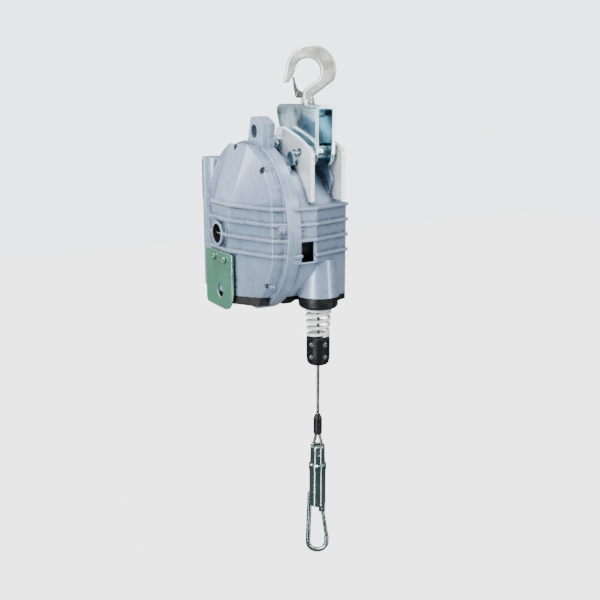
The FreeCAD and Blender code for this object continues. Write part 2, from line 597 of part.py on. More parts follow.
def worm_screw():
    """Steel worm: plain core and journals with one thread wound at the wheel's pitch."""
    turns = 5
    core = turned("worm_core", "Z", [
        ("0", "column_low - 4"), ("worm_journal_r", "column_low - 4"),
        ("worm_journal_r", -worm_pitch * (turns / 2 + 1)), ("worm_root_r", -worm_pitch * (turns / 2 + 1)),
        ("worm_root_r", worm_pitch * (turns / 2 + 1)), ("worm_journal_r", worm_pitch * (turns / 2 + 1)),
        ("worm_journal_r", "column_top - 12"), ("0", "column_top - 12")])
    doc.recompute()
    root, tip, half = size("worm_root_r") - 0.5, size("worm_tip_r"), size("thread_t") / 2
    corners = [Vector(root, 0, -half - 0.6), Vector(tip, 0, -half + 0.4), Vector(tip, 0, half - 0.4),
               Vector(root, 0, half + 0.6)]
    section = Part.makePolygon(corners + corners[:1])
    helix = Part.makeHelix(worm_pitch, worm_pitch * turns, root)
    thread = Part.Wire(helix.Edges).makePipeShell([section], True, True)
    thread.translate(Vector(0, 0, -worm_pitch * (turns // 2)))
    worm = core.Shape.fuse(thread)
    worm.translate(Vector(size("worm_x"), size("worm_y"), 0))
    return shaped("worm_screw", worm)


node("worm_wheel", worm_wheel())
node("worm_screw", worm_screw())
worm_place = ("worm_x", "worm_y")
node("worm_bush", tube("worm_bush", "Z", "worm_journal_r + bush_t", "worm_journal_r + run_gap",
                       "column_low", "column_low + 8", worm_place))
node("worm_top_bearing", tube("worm_top_bearing", "Z", "worm_tip_r + 1.45",
                              "worm_journal_r + run_gap", "column_top - 22", "column_top - 14",
                              worm_place))

# ---------------------------------------------------------------- drum, spring and bearings
node("spring_arbor", turned("spring_arbor", "Y", [
    ("shaft_r + run_gap", "case_front + case_wall + 1"), ("arbor_r", "case_front + case_wall + 1"),
    ("arbor_r", "case_rear - case_wall - 1"), ("shaft_r + run_gap", "case_rear - case_wall - 1")]))
node("spring_case", turned("spring_case", "Y", [
    ("arbor_r + 3", "case_rear - case_wall"), ("case_r - case_wall", "case_rear - case_wall"),
    ("case_r - case_wall", "case_front + case_wall"), ("case_r", "case_front + case_wall"),
    ("case_r", "case_rear"), ("arbor_r + 3", "case_rear")]))
node("spring_case_lid", tube("spring_case_lid", "Y", "case_r", "arbor_r + 3", "case_front",
                             "case_front + case_wall"))


def power_spring():
    """Flat spiral spring: half-turn arcs whose centres swap sides, so the strip grows evenly."""
    first, last, thick = size("spring_in_r"), size("spring_out_r"), size("spring_t")
    halves = 2 * int(size("spring_turns"))
    step = (last - first) / halves
    outer, inner = [], []
    for i in range(halves):
        side = 1 if i % 2 == 0 else -1
        radius = first + step * (i + 0.5)
        centre = Vector(side * -step / 2, 0, 0)
        for edges, r in ((inner, radius - thick / 2), (outer, radius + thick / 2)):
            ends = [centre + Vector(r * side, 0, 0), centre + Vector(0, 0, r * side),
                    centre + Vector(-r * side, 0, 0)]
            edges.append(Part.Arc(*ends).toShape())
    caps = [Part.makeLine(inner[0].Vertexes[0].Point, outer[0].Vertexes[0].Point),
            Part.makeLine(inner[-1].Vertexes[-1].Point, outer[-1].Vertexes[-1].Point)]
    face = Part.Face(Part.Wire(Part.__sortEdges__(inner + outer + caps)))
    low = size("case_front + case_wall + 1.5")
    strip = face.extrude(Vector(0, size("case_rear - case_wall - 1.5") - low, 0))
    strip.translate(Vector(0, low, 0))
    return shaped("power_spring", strip)


node("power_spring", power_spring())
groove_bottom = "(rope_x - rope_r - near_gap)"
grooves = []
for i in range(-1, 4):
    middle = "rope_y + %d * groove_pitch" % i
    bottom = "%s - %d * groove_pitch * drum_slope" % (groove_bottom, i)
    grooves += [("%s + 1.6" % bottom, "%s - groove_pitch / 2 + 0.2" % middle),
                ("%s + 1.6" % bottom, "%s - rope_r" % middle),
                (bottom, "%s - 1.2" % middle), (bottom, "%s + 1.2" % middle),
                ("%s + 1.6" % bottom, "%s + rope_r" % middle)]
drum_bore = "rope_x - 2 * rope_r - drum_wall - 4"
node("rope_drum", turned("rope_drum", "Y", [
    ("bearing_r + run_gap", "case_rear"), ("case_r - 1", "case_rear"),
    ("case_r - 1", "case_rear + 3.5")] + grooves + [
    ("%s + 1.6" % bottom, "drum_rear"), (drum_bore, "drum_rear"), (drum_bore, "case_rear + 6"),
    ("bearing_r + 6", "case_rear + 6"), ("bearing_r + 6", "drum_rear - 2"),
    ("bearing_r + run_gap", "drum_rear - 2")]))
for name, low in (("front_drum_bearing", "case_rear + 1"), ("rear_drum_bearing",
                                                           "drum_rear - 3 - bearing_t")):
    node(name, tube(name, "Y", "bearing_r", "shaft_r + run_gap", low, low + " + bearing_t"))
node("drum_spacer", tube("drum_spacer", "Y", "shaft_r + 4", "shaft_r + run_gap", "drum_rear",
                         "rear_y - 14"))


def rope_turns():
    """The turns of rope that lie wound in the drum's other grooves."""
    rings = []
    for i in (-1, 1, 2, 3):
        radius = size(groove_bottom) - size("groove_pitch * drum_slope") * i + size("rope_r") + 0.1
        ring = Part.makeTorus(radius, size("rope_r"), Vector(0, 0, 0), Vector(0, 1, 0))
        ring.translate(Vector(0, size("rope_y") + i * size("groove_pitch"), 0))
        rings.append(ring)
    return shaped("rope_turns", Part.makeCompound(rings))


node("rope_on_drum", rope_turns())

# ---------------------------------------------------------------- ears, bracket and pin
ear_outline = [
    ("6", "casing_z + 112"), ("40", "casing_z + 60"), ("90", "rib_top + rib_t + rib_h + 1"),
    ("114", "rib_top + rib_t + rib_h + 1"), ("114", "casing_z + 104"),
    ("102", "casing_z + 120", "13"), ("74", "casing_z + 132"), ("27", "casing_z + 145"),
    ("10", "casing_z + 141", "30")]
ear_seat = bowl("ear_seat", "near_gap", "casing_low")
far_ear_y = "2 * rope_y - ear_y - ear_t"
for name, low in (("near_ear_plate", "ear_y"), ("far_ear_plate", far_ear_y)):
    plate = slab(name + "_blank", "XZ", ear_outline, low, low + " + ear_t",
                 [("pin_x", "pin_z", "pin_r + run_gap")]
                 + [(x, z, "ear_bolt_r + run_gap") for x, z in bolt_places])
    node(name, cut(name, plate, ear_seat))
ear_bolt = hex_bolt("ear_bolt", "ear_bolt_r", "ear_t + cast_ear_t", "19", "7.5")
doc.recompute()
back_bolt = ear_bolt.Shape.copy()
back_bolt.rotate(Vector(0, 0, 0), Vector(0, 0, 1), 180)
near_spots = [(size(x), size("ear_y"), size(z)) for x, z in bolt_places]
far_spots = [(size(x), size("2 * rope_y - ear_y"), size(z)) for x, z in bolt_places]
near_bolts = spread("near_bolts", ear_bolt, near_spots)
far_bolts = spread("far_bolts", shaped("back_bolt", back_bolt), far_spots)
node("ear_bolts", shaped("ear_bolts", Part.makeCompound([near_bolts.Shape, far_bolts.Shape])))

leg_in = "(bracket_w / 2 - bracket_t)"
channel = slab("bracket_channel", "YZ", [
    ("rope_y - bracket_w / 2", "pin_z - 60"), ("rope_y - %s" % leg_in, "pin_z - 60"),
    ("rope_y - %s" % leg_in, "bracket_top - bend_r"),
    ("rope_y - %s + bend_r - bracket_t" % leg_in, "bracket_top - bracket_t", "-(bend_r - bracket_t)"),
    ("rope_y + %s - bend_r + bracket_t" % leg_in, "bracket_top - bracket_t"),
    ("rope_y + %s" % leg_in, "bracket_top - bend_r", "-(bend_r - bracket_t)"),
    ("rope_y + %s" % leg_in, "pin_z - 60"), ("rope_y + bracket_w / 2", "pin_z - 60"),
    ("rope_y + bracket_w / 2", "bracket_top - bend_r"),
    ("rope_y + bracket_w / 2 - bend_r", "bracket_top", "bend_r"),
    ("rope_y - bracket_w / 2 + bend_r", "bracket_top"),
    ("rope_y - bracket_w / 2", "bracket_top - bend_r", "bend_r")], "bracket_left", "bracket_right")
leg_shape = slab("leg_shape", "XZ", [
    ("bracket_left", "bracket_top + 1"), ("bracket_left", "bracket_top - 12"),
    ("bracket_left + 8", "bracket_top - 32"),
    ("pin_x - 0.5 * bracket_tip_r", "pin_z - 0.866 * bracket_tip_r"),
    ("pin_x + 0.5 * bracket_tip_r", "pin_z - 0.866 * bracket_tip_r", "bracket_tip_r"),
    ("pin_x + bracket_tip_r", "pin_z", "bracket_tip_r"), ("bracket_right", "pin_z + 12"),
    ("bracket_right", "bracket_top + 1")], "0", "2 * rope_y",
    [("pin_x", "pin_z", "pin_r + run_gap")])
hook_x = "-hang_x"
node("suspension_bracket", cut("suspension_bracket", common("bracket_cut", channel, leg_shape),
                               rod("hook_way", "Z", "shank_r + run_gap", "bracket_top - 20",
                                   "bracket_top + 5", (hook_x, "rope_y"))))
pin_place = ("pin_x", "pin_z")
node("bracket_pin", bar("bracket_pin", "Y", "pin_r", "ear_y", "2 * rope_y - ear_y", pin_place))
gap_low = "ear_y + ear_t + 0.1"
gap_high = "rope_y - bracket_w / 2 - 0.2"
spacers = [tube("pin_spacer", "Y", "spacer_r", "pin_r + run_gap", low, high, pin_place)
           for low, high in ((gap_low, gap_high),
                             ("2 * rope_y - (%s)" % gap_high, "2 * rope_y - (%s)" % gap_low))]
doc.recompute()
node("pin_spacers", shaped("pin_spacers", Part.makeCompound([s.Shape for s in spacers])))
node("pin_roller", tube("pin_roller", "Y", "roller_r", "pin_r + run_gap",
                       "rope_y - %s + near_gap" % leg_in, "rope_y + %s - near_gap" % leg_in,
                       pin_place))

# ---------------------------------------------------------------- top hook (its bowl is at 0, 0, 0)
def hang_turned(label, obj, turn):
    """Hang a piece modelled about the bowl of the hook, turned about the hook's upright axis."""
    obj.Label = label
    obj.Placement.Rotation = FreeCAD.Rotation(Vector(0, 0, 1), size(turn))
    nodes[label] = obj
    return obj


half_hook = "hook_t / 2"
hook_plan = slab("hook_plan", "XZ", [
    ("shank_r", "-59"), ("shank_r", "-53"), ("hook_out_r + 1", "-31"),
    ("hook_out_r + 4.5", "-17.5", "hook_out_r"), ("4.5", "hook_out_r - 17.5", "hook_out_r"),
    ("4.5 - hook_out_r", "-17.5", "hook_out_r"), ("1.5 - hook_out_r", "-25"), ("-34", "-35"),
    ("-27", "-33"), ("-21.5", "-24.5"), ("-hook_in_r", "-hook_in_r"), ("0", "0", "-hook_in_r"),
    ("hook_in_r", "-hook_in_r", "-hook_in_r"), ("14.5", "-29", "-hook_in_r"), ("-4", "-43"),
    ("-shank_r", "-47"), ("-shank_r", "-59")], "-(%s)" % half_hook, half_hook)
edge_round = hook_plan.newObject("PartDesign::Fillet", unique("forged_edges"))
doc.recompute()
pad = [feature for feature in hook_plan.Group if feature.TypeId == "PartDesign::Pad"][0]
flat = [i for i, face in enumerate(pad.Shape.Faces, 1)
        if abs(abs(face.CenterOfMass.y) - size(half_hook)) < 0.01]
edge_round.Base = (pad, ["Face%d" % i for i in flat])
edge_round.setExpression("Radius", bound("hook_t * 0.19"))
hook_plan.Tip = edge_round
under_bracket = "hang_z + bracket_top - bracket_t - near_gap"
shank = turned("shank", "Z", [
    ("0", "-54"), ("shank_r + 1.5", "-54"), ("shank_r + 1.5", "-59"), ("shank_r + 2.5", "-59"),
    ("shank_r + 2.5", "-59 - collar_t"), ("shank_r", "-59 - collar_t"),
    ("shank_r", under_bracket), ("hook_thread_r", under_bracket),
    ("hook_thread_r", under_bracket + " - hook_nut_t - 2"), ("0", under_bracket + " - hook_nut_t - 2")])
latch_lug = fuse("latch_lug", rod("lug_round", "Y", "5.5", "-4", "4", ("-13", "-50")),
                 block("lug_web", (-13, -4), (-4, 4), ("-55.5", "-46")))
hang_turned("top_hook", cut("top_hook", fuse("hook_all", hook_plan, shank, latch_lug),
                            rod("latch_hole", "Y", "latch_pin_r + run_gap", "-5", "5", ("-13", "-50")),
                            rod("latch_recess", "Y", "4.2", "-4.1", "-1.5", ("-13", "-50"))),
            "hook_turn")
latch_coil = coil("latch_coil", 2.6, 2.6, 0.6, 1.6, 3.0, 2.3).Shape.copy()
latch_coil.rotate(Vector(0, 0, 0), Vector(1, 0, 0), -90)
latch_coil.translate(Vector(-13, -5.25, -50))
hang_turned("hook_latch_spring", shaped("hook_latch_spring", Part.makeCompound([latch_coil])),
            "hook_turn")
washer_top = "bracket_top + washer_t - 0.1"
node("hook_washer", tube("hook_washer", "Z", "shank_r + 4", "shank_r + run_gap",
                         "bracket_top + 0.05", washer_top, (hook_x, "rope_y")))
nut = doc.addObject("Part::Prism", "hook_nut_hexagon")
nut.Polygon = 6
nut.setExpression("Circumradius", bound("hook_nut_af / sqrt(3)"))
nut.setExpression("Height", bound("hook_nut_t"))
nut.setExpression("Placement.Base.z", bound(under_bracket + " - hook_nut_t"))
doc.recompute()
nut_thread = rod("nut_thread", "Z", "hook_thread_r + run_gap", "-100", "-50")
hang_turned("hook_nut", cut("hook_nut", nut, nut_thread), "hook_turn")
latch_side = [("-17", "-54"), ("-9.5", "-54"), ("-9.5", "-48"), ("-15", "-41"), ("-19.4", "-26"),
              ("-22", "-26"), ("-20", "-44")]
cheeks = [slab("latch_cheek", "XZ", latch_side, low, high, [("-13", "-50", "latch_pin_r + run_gap")])
          for low, high in (("-latch_w / 2", "-latch_w / 2 + latch_t"),
                            ("latch_w / 2 - latch_t", "latch_w / 2"))]
web = slab("latch_web", "XZ", [("-19.4", "-26"), ("-22", "-26"), ("-20.4", "-41"), ("-18.4", "-41")],
           "-latch_w / 2", "latch_w / 2")
hang_turned("hook_latch", fuse("hook_latch", web, *cheeks), "hook_turn")
hang_turned("hook_latch_pin", fuse(
    "hook_latch_pin", rod("latch_rivet", "Y", "latch_pin_r", "-latch_w / 2 - 1.5",
                          "latch_w / 2 + 1.5", ("-13", "-50")),
    rod("latch_rivet_head", "Y", "latch_pin_r + 1.2", "-latch_w / 2 - 1.5",
        "-latch_w / 2 - 0.3", ("-13", "-50")),
    rod("latch_rivet_foot", "Y", "latch_pin_r + 1.2", "latch_w / 2 + 0.3",
        "latch_w / 2 + 1.5", ("-13", "-50"))), "hook_turn")

# ---------------------------------------------------------------- rope, stop and load end
line_place = ("rope_x", "rope_y")
stop_spring = coil("stop_spring_wire", size("stop_spring_r"), size("stop_spring_low_r"),
                   size("spring_wire"), size("stop_spring_low") + size("spring_wire") / 2,
                   size("guide_low - near_gap") - size("spring_wire") / 2, 3.5)


def on_line(shape):
    """Move a shape from the Z axis to the rope's line."""
    moved = shape.copy()
    moved.translate(Vector(size("rope_x"), size("rope_y"), 0))
    return moved


node("stop_spring", shaped("stop_spring", on_line(stop_spring.Shape)))
node("wire_rope", bar("wire_rope", "Z", "rope_r", "sleeve_top", "-6", line_place))
node("rope_sleeve", turned("rope_sleeve", "Z", [
    ("0", "sleeve_low"), ("sleeve_r - 0.8", "sleeve_low"), ("sleeve_r", "sleeve_low + 2"),
    ("sleeve_r", "sleeve_top - 6"), ("sleeve_r - 2.4", "sleeve_top"), ("0", "sleeve_top")],
    line_place))


def load_piece(label, shape):
    """Turn a load-end shape made about the Z axis to face the right way on the rope's line."""
    turned_shape = shape.copy()
    turned_shape.rotate(Vector(0, 0, 0), Vector(0, 0, 1), size("load_turn"))
    node(label, shaped(label, on_line(turned_shape)))


def bent_bar(points, bend, radius):
    """Round bar through (x, z) points, every corner bent to one radius."""
    corners = [Vector(x, 0, z) for x, z in points]
    start, edges = corners[0], []
    for before, corner, after in zip(corners, corners[1:], corners[2:]):
        arriving, leaving = (corner - before).normalize(), (after - corner).normalize()
        turn = arriving.getAngle(leaving)
        first = corner - arriving * bend * math.tan(turn / 2)
        last = corner + leaving * bend * math.tan(turn / 2)
        centre = first + (leaving - arriving * math.cos(turn)).normalize() * bend
        middle = centre + (corner - centre).normalize() * bend
        edges += [Part.makeLine(start, first), Part.Arc(first, middle, last).toShape()]
        start = last
    edges.append(Part.makeLine(start, corners[-1]))
    section = Part.Wire(Part.makeCircle(radius, corners[0], corners[1] - corners[0]))
    return Part.Wire(edges).makePipeShell([section], True, False)


stop_body = turned("stop_body", "Z", [
    ("rope_r + near_gap", "stop_low"), ("stop_r - 6", "stop_low"), ("stop_r - 1", "stop_low + 5", "7"),
    ("stop_r", "stop_low + 12"), ("stop_r", "stop_top - 2"), ("stop_r - 2", "stop_top"),
    ("rope_r + near_gap", "stop_top")])
stop_screw_z = [size("stop_top") - 10, size("stop_low") + 14]
stop_screw_spots = [(side * 9, 0, z) for side in (-1, 1) for z in stop_screw_z]
for label, room in (("rope_stop_front", (-FAR, -0.15)), ("rope_stop_back", (0.15, FAR))):
    half_stop = common(label + "_half", stop_body, block(label + "_room", (-FAR, FAR), room,
                                                         (-FAR, FAR)))
    ways = [rod("stop_screw_way", "Y", "2.25", -12.5, 10.2, (x, z)) for x, _, z in stop_screw_spots]
    ways += [rod("stop_head_way", "Y", "3.7", -FAR, -12.4, (x, z)) for x, _, z in stop_screw_spots]
    drilled = cut(label + "_drilled", half_stop, *ways)
    doc.recompute()
    load_piece(label, drilled.Shape)
stop_screw = fuse("stop_screw", rod("stop_screw_shank", "Y", "2.2", -12.5, 10),
                  rod("stop_screw_head", "Y", "3.6", -14.2, -12.4))
load_piece("rope_stop_screws", spread("stop_screws", stop_screw, stop_screw_spots).Shape)

eye_r, eye_z, eye_top = size("eye_r"), size("eye_z"), size("sleeve_low - 0.5")
load_piece("rope_eye", bent_bar([(-3, eye_top), (-1.2 * eye_r, eye_z - eye_r),
                                 (1.2 * eye_r, eye_z - eye_r), (3, eye_top)],
                                eye_r, size("rope_r")))
doc.recompute()
fork = fuse("fork_all", turned("fork_body", "Z", [
    ("0", "fork_low"), ("fork_r", "fork_low"), ("fork_r", "fork_top - 2"), ("fork_r - 2", "fork_top", "2"),
    ("0", "fork_top")]), rod("fork_stem", "Z", "stem_r", "collar_low - 22", "fork_low + 1", (0, 0)),
    rod("fork_stem_head", "Z", "stem_head_r", "collar_low - 28", "collar_low - 21", (0, 0)))
fork_cut = cut("fork_cut", fork, block("fork_slot", (-FAR, FAR), ("-fork_slot / 2", "fork_slot / 2"),
                                       ("eye_z - eye_r - rope_r - 1", FAR)),
               rod("fork_pin_way", "Y", "eye_pin_r + run_gap", -20, 20, ("0", "eye_z")))
doc.recompute()
load_piece("swivel_fork", fork_cut.Shape)
thimble = tube("thimble_ring", "Y", "eye_r - rope_r", "eye_pin_r + 0.1", "-fork_slot / 2 + 0.4",
               "fork_slot / 2 - 0.4", ("0", "eye_z"))
eye_pin = rod("eye_pin_rod", "Y", "eye_pin_r", "-fork_r + 1", "fork_r - 1", ("0", "eye_z"))
barrel = turned("barrel_body", "Z", [
    ("0", "barrel_low"), ("barrel_r - 2", "barrel_low"), ("barrel_r", "barrel_low + 2"),
    ("barrel_r", "collar_low"), ("stem_r + 0.3", "collar_low"), ("stem_r + 0.3", "collar_low - 8"),
    ("stem_head_r + 0.5", "collar_low - 8"), ("stem_head_r + 0.5", "collar_low - 29"),
    ("0", "collar_low - 29")])
lugs = [block("gate_lug", (2, 12), side, ("barrel_low - 9", "barrel_low + 4"))
        for side in ((-6.5, -3.3), (3.3, 6.5))]
pin_way = rod("gate_pin_way", "Y", "1.5", "-8", "8", (7, "barrel_low - 4.5"))
ring_body = turned("collar_body", "Z", [
    ("stem_r + 0.3", "collar_low"), ("swivel_collar_r", "collar_low"),
    ("swivel_collar_r", "fork_low - near_gap - 2"), ("swivel_collar_r - 2", "fork_low - near_gap"),
    ("stem_r + 0.3", "fork_low - near_gap")])
bearing = tube("thrust_ring", "Z", "stem_head_r + 0.4", "stem_r + 0.3", "collar_low - 20.7",
               "collar_low - 8")
doc.recompute()
load_piece("thimble", thimble.Shape)
load_piece("eye_pin", eye_pin.Shape)
load_piece("swivel_barrel", barrel.Shape.fuse([lug.Shape for lug in lugs]).cut(pin_way.Shape))
load_piece("swivel_collar", ring_body.Shape)
load_piece("swivel_bearing", bearing.Shape)

half = size("snap_half")
snap_floor = size("snap_low + snap_wire / 2")
nose = snap_floor + half + 9
load_piece("snap_hook", bent_bar([(-size("barrel_r") + 1, size("barrel_low") + 20),
                                  (-half - 0.4, snap_floor), (half, snap_floor), (half, nose)],
                                 0.96 * half, size("snap_wire / 2")))
pivot_x, pivot_z = 7, size("barrel_low - 4.5")
arm = bent_bar([(pivot_x + 0.6, pivot_z - 3.6), (half, nose + 1.5)], half, size("gate_wire / 2"))
knuckle = tube("gate_knuckle", "Y", "4", "1.55", "-3", "1.2", (pivot_x, pivot_z))
gate_pin = rod("gate_pin_rod", "Y", "1.5", "-6.5", "6.5", (pivot_x, pivot_z))
doc.recompute()
gate_eye = Part.makeCylinder(1.55, 20, Vector(pivot_x, -10, pivot_z), Vector(0, 1, 0))
load_piece("snap_gate", arm.fuse(knuckle.Shape).cut(gate_eye))
load_piece("gate_pin", Part.makeCompound([gate_pin.Shape]))
gate_coil = coil("gate_coil", 2.6, 2.6, 0.6, 1.6, 3.0, 2.3).Shape.copy()
gate_coil.rotate(Vector(0, 0, 0), Vector(1, 0, 0), -90)
gate_coil.translate(Vector(pivot_x, 0, pivot_z))
load_piece("gate_spring", gate_coil)

# ---------------------------------------------------------------- write the pieces
doc.recompute()
os.makedirs("parts", exist_ok=True)
for obj in doc.Objects:
    if "Invalid" in obj.State or "Error" in obj.State:
        raise RuntimeError("%s (%s) failed: %s" % (obj.Name, obj.Label, obj.State))
for label, obj in nodes.items():
    if obj.Shape.isNull() or not obj.Shape.isValid():
        raise RuntimeError(label + " has no valid shape")
for label, obj in nodes.items():
    obj.Shape.exportStep("parts/%s.step" % label)
    print("%-20s %2d solids %10.0f mm3" % (label, len(obj.Shape.Solids), obj.Shape.Volume))
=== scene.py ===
"""Tool balancer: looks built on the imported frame.  Lengths are metres in the frame's coordinates:
the origin lies in the bowl of the top hook, Z up, +Y along the drum shaft towards the rear."""
import bmesh
import bpy
import math
import numpy as np
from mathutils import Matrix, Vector


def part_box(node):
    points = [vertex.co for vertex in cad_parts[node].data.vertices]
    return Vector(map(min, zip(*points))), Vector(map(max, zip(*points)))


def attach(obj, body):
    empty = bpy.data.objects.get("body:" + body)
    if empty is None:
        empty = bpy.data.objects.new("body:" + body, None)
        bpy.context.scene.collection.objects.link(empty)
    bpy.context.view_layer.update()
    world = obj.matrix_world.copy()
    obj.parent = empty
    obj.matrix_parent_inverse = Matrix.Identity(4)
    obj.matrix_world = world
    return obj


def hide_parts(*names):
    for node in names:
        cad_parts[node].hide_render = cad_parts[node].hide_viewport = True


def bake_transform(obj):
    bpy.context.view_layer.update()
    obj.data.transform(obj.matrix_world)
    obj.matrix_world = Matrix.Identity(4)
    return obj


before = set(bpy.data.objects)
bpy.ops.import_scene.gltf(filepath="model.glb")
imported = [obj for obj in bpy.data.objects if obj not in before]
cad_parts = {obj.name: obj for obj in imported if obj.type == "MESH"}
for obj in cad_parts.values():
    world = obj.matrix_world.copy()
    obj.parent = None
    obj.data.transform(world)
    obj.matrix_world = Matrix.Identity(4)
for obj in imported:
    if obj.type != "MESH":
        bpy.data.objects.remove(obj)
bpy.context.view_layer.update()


# ---------------------------------------------------------------- top hook
# Drop-forged steel hook with a swivelling shank, descaled and oiled: satin skin with a fine
# hammered grain, painted shade in the hollows, and edges lighter from wear and a painted highlight.
def group(name, inputs, outputs):
    """Empty node group with the given sockets: (name, kind, value)."""
    tree = bpy.data.node_groups.new(name, "ShaderNodeTree")
    for title, kind, value in inputs:
        socket = tree.interface.new_socket(title, in_out="INPUT", socket_type="NodeSocket" + kind)
        socket.default_value = value
    for title, kind in outputs:
        tree.interface.new_socket(title, in_out="OUTPUT", socket_type="NodeSocket" + kind)
    return tree, tree.nodes.new("NodeGroupInput"), tree.nodes.new("NodeGroupOutput")


def put(tree, kind, links=None, **values):
    """Node with its settings, input values and links in one call."""
    made = tree.nodes.new("ShaderNode" + kind)
    for word, value in values.items():
        setattr(made, word, value)
    for socket, source in (links or {}).items():
        if isinstance(source, bpy.types.NodeSocket):
            tree.links.new(source, made.inputs[socket])
        else:
            made.inputs[socket].default_value = source
    return made


def make_speckle():
    """Fine two-scale noise: Shade is a slow drift around 0.5, and Height is a fine grain."""
    tree, given, result = group("speckle", [("Scale", "Float", 400.0)],
                                [("Shade", "Float"), ("Height", "Float")])
    place = put(tree, "TexCoord")
    slow = put(tree, "Math", {0: given.outputs["Scale"], 1: 0.08}, operation="MULTIPLY")
    drift = put(tree, "TexNoise", {"Vector": place.outputs["Object"], "Scale": slow.outputs[0],
                                   "Detail": 4.0, "Roughness": 0.6})
    grain = put(tree, "TexNoise", {"Vector": place.outputs["Object"],
                                   "Scale": given.outputs["Scale"], "Detail": 3.0})
    tree.links.new(drift.outputs["Fac"], result.inputs["Shade"])
    tree.links.new(grain.outputs["Fac"], result.inputs["Height"])
    return tree


def make_edge_wear_and_highlight():
    """How sharp the corner under a point is: 1 on an outer edge within Width, 0 on a flat; it masks
    edge wear and a painted highlight.
    """
    tree, given, result = group("edge_wear_and_highlight", [("Width", "Float", 0.001)],
                                [("Edge", "Float"), ("Normal", "Vector")])
    rounded = put(tree, "Bevel", {"Radius": given.outputs["Width"]}, samples=6)
    plain = put(tree, "NewGeometry")
    same = put(tree, "VectorMath", {0: rounded.outputs["Normal"], 1: plain.outputs["Normal"]},
               operation="DOT_PRODUCT")
    edge = put(tree, "MapRange", {"Value": same.outputs["Value"], "From Min": 0.998,
                                  "From Max": 0.93, "To Min": 0.0, "To Max": 1.0})
    tree.links.new(edge.outputs["Result"], result.inputs["Edge"])
    tree.links.new(rounded.outputs["Normal"], result.inputs["Normal"])
    return tree


def make_recess_shade():
    """Mask for painted shade: 1 in corners and hollows narrower than Reach, 0 in the open, broken up
    by a noise.
    """
    tree, given, result = group("recess_painted_shade", [("Reach", "Float", 0.006)], [("PaintedShade", "Float")])
    hollow = put(tree, "AmbientOcclusion", {"Distance": given.outputs["Reach"]}, samples=16)
    place = put(tree, "TexCoord")
    patch = put(tree, "TexNoise", {"Vector": place.outputs["Object"], "Scale": 180.0,
                                   "Detail": 3.0})
    shut = put(tree, "MapRange", {"Value": hollow.outputs["AO"], "From Min": 0.92,
                                  "From Max": 0.5, "To Min": 0.0, "To Max": 1.7})
    broken = put(tree, "Math", {0: shut.outputs["Result"], 1: patch.outputs["Fac"]},
                 operation="MULTIPLY", use_clamp=True)
    tree.links.new(broken.outputs[0], result.inputs["PaintedShade"])
    return tree


SPECKLE = make_speckle()
EDGE_WEAR_AND_HIGHLIGHT = make_edge_wear_and_highlight()
RECESS_SHADE = make_recess_shade()


def shaded_bores(tree, shade, bores, color):
    """Shade with near-black mixed into machined bores, bare metal darkened as painted shade in the
    hole: each bore is (x, z, radius), a cylinder along Y that the paint stops short of."""
    place = put(tree, "TexCoord")
    for x, z, radius in bores:
        off = put(tree, "VectorMath", {0: place.outputs["Object"], 1: (x, 0, z)},
                  operation="SUBTRACT")
        flat = put(tree, "VectorMath", {0: off.outputs["Vector"], 1: (1, 0, 1)},
                   operation="MULTIPLY")
        reach = put(tree, "VectorMath", {0: flat.outputs["Vector"]}, operation="LENGTH")
        inside = put(tree, "MapRange", {"Value": reach.outputs["Value"],
                                        "From Min": radius + 0.0004, "From Max": radius})
        mixed = put(tree, "Mix", {0: inside.outputs["Result"], 6: shade, 7: (*color, 1.0)},
                    data_type="RGBA")
        shade = mixed.outputs[2]
    return shade


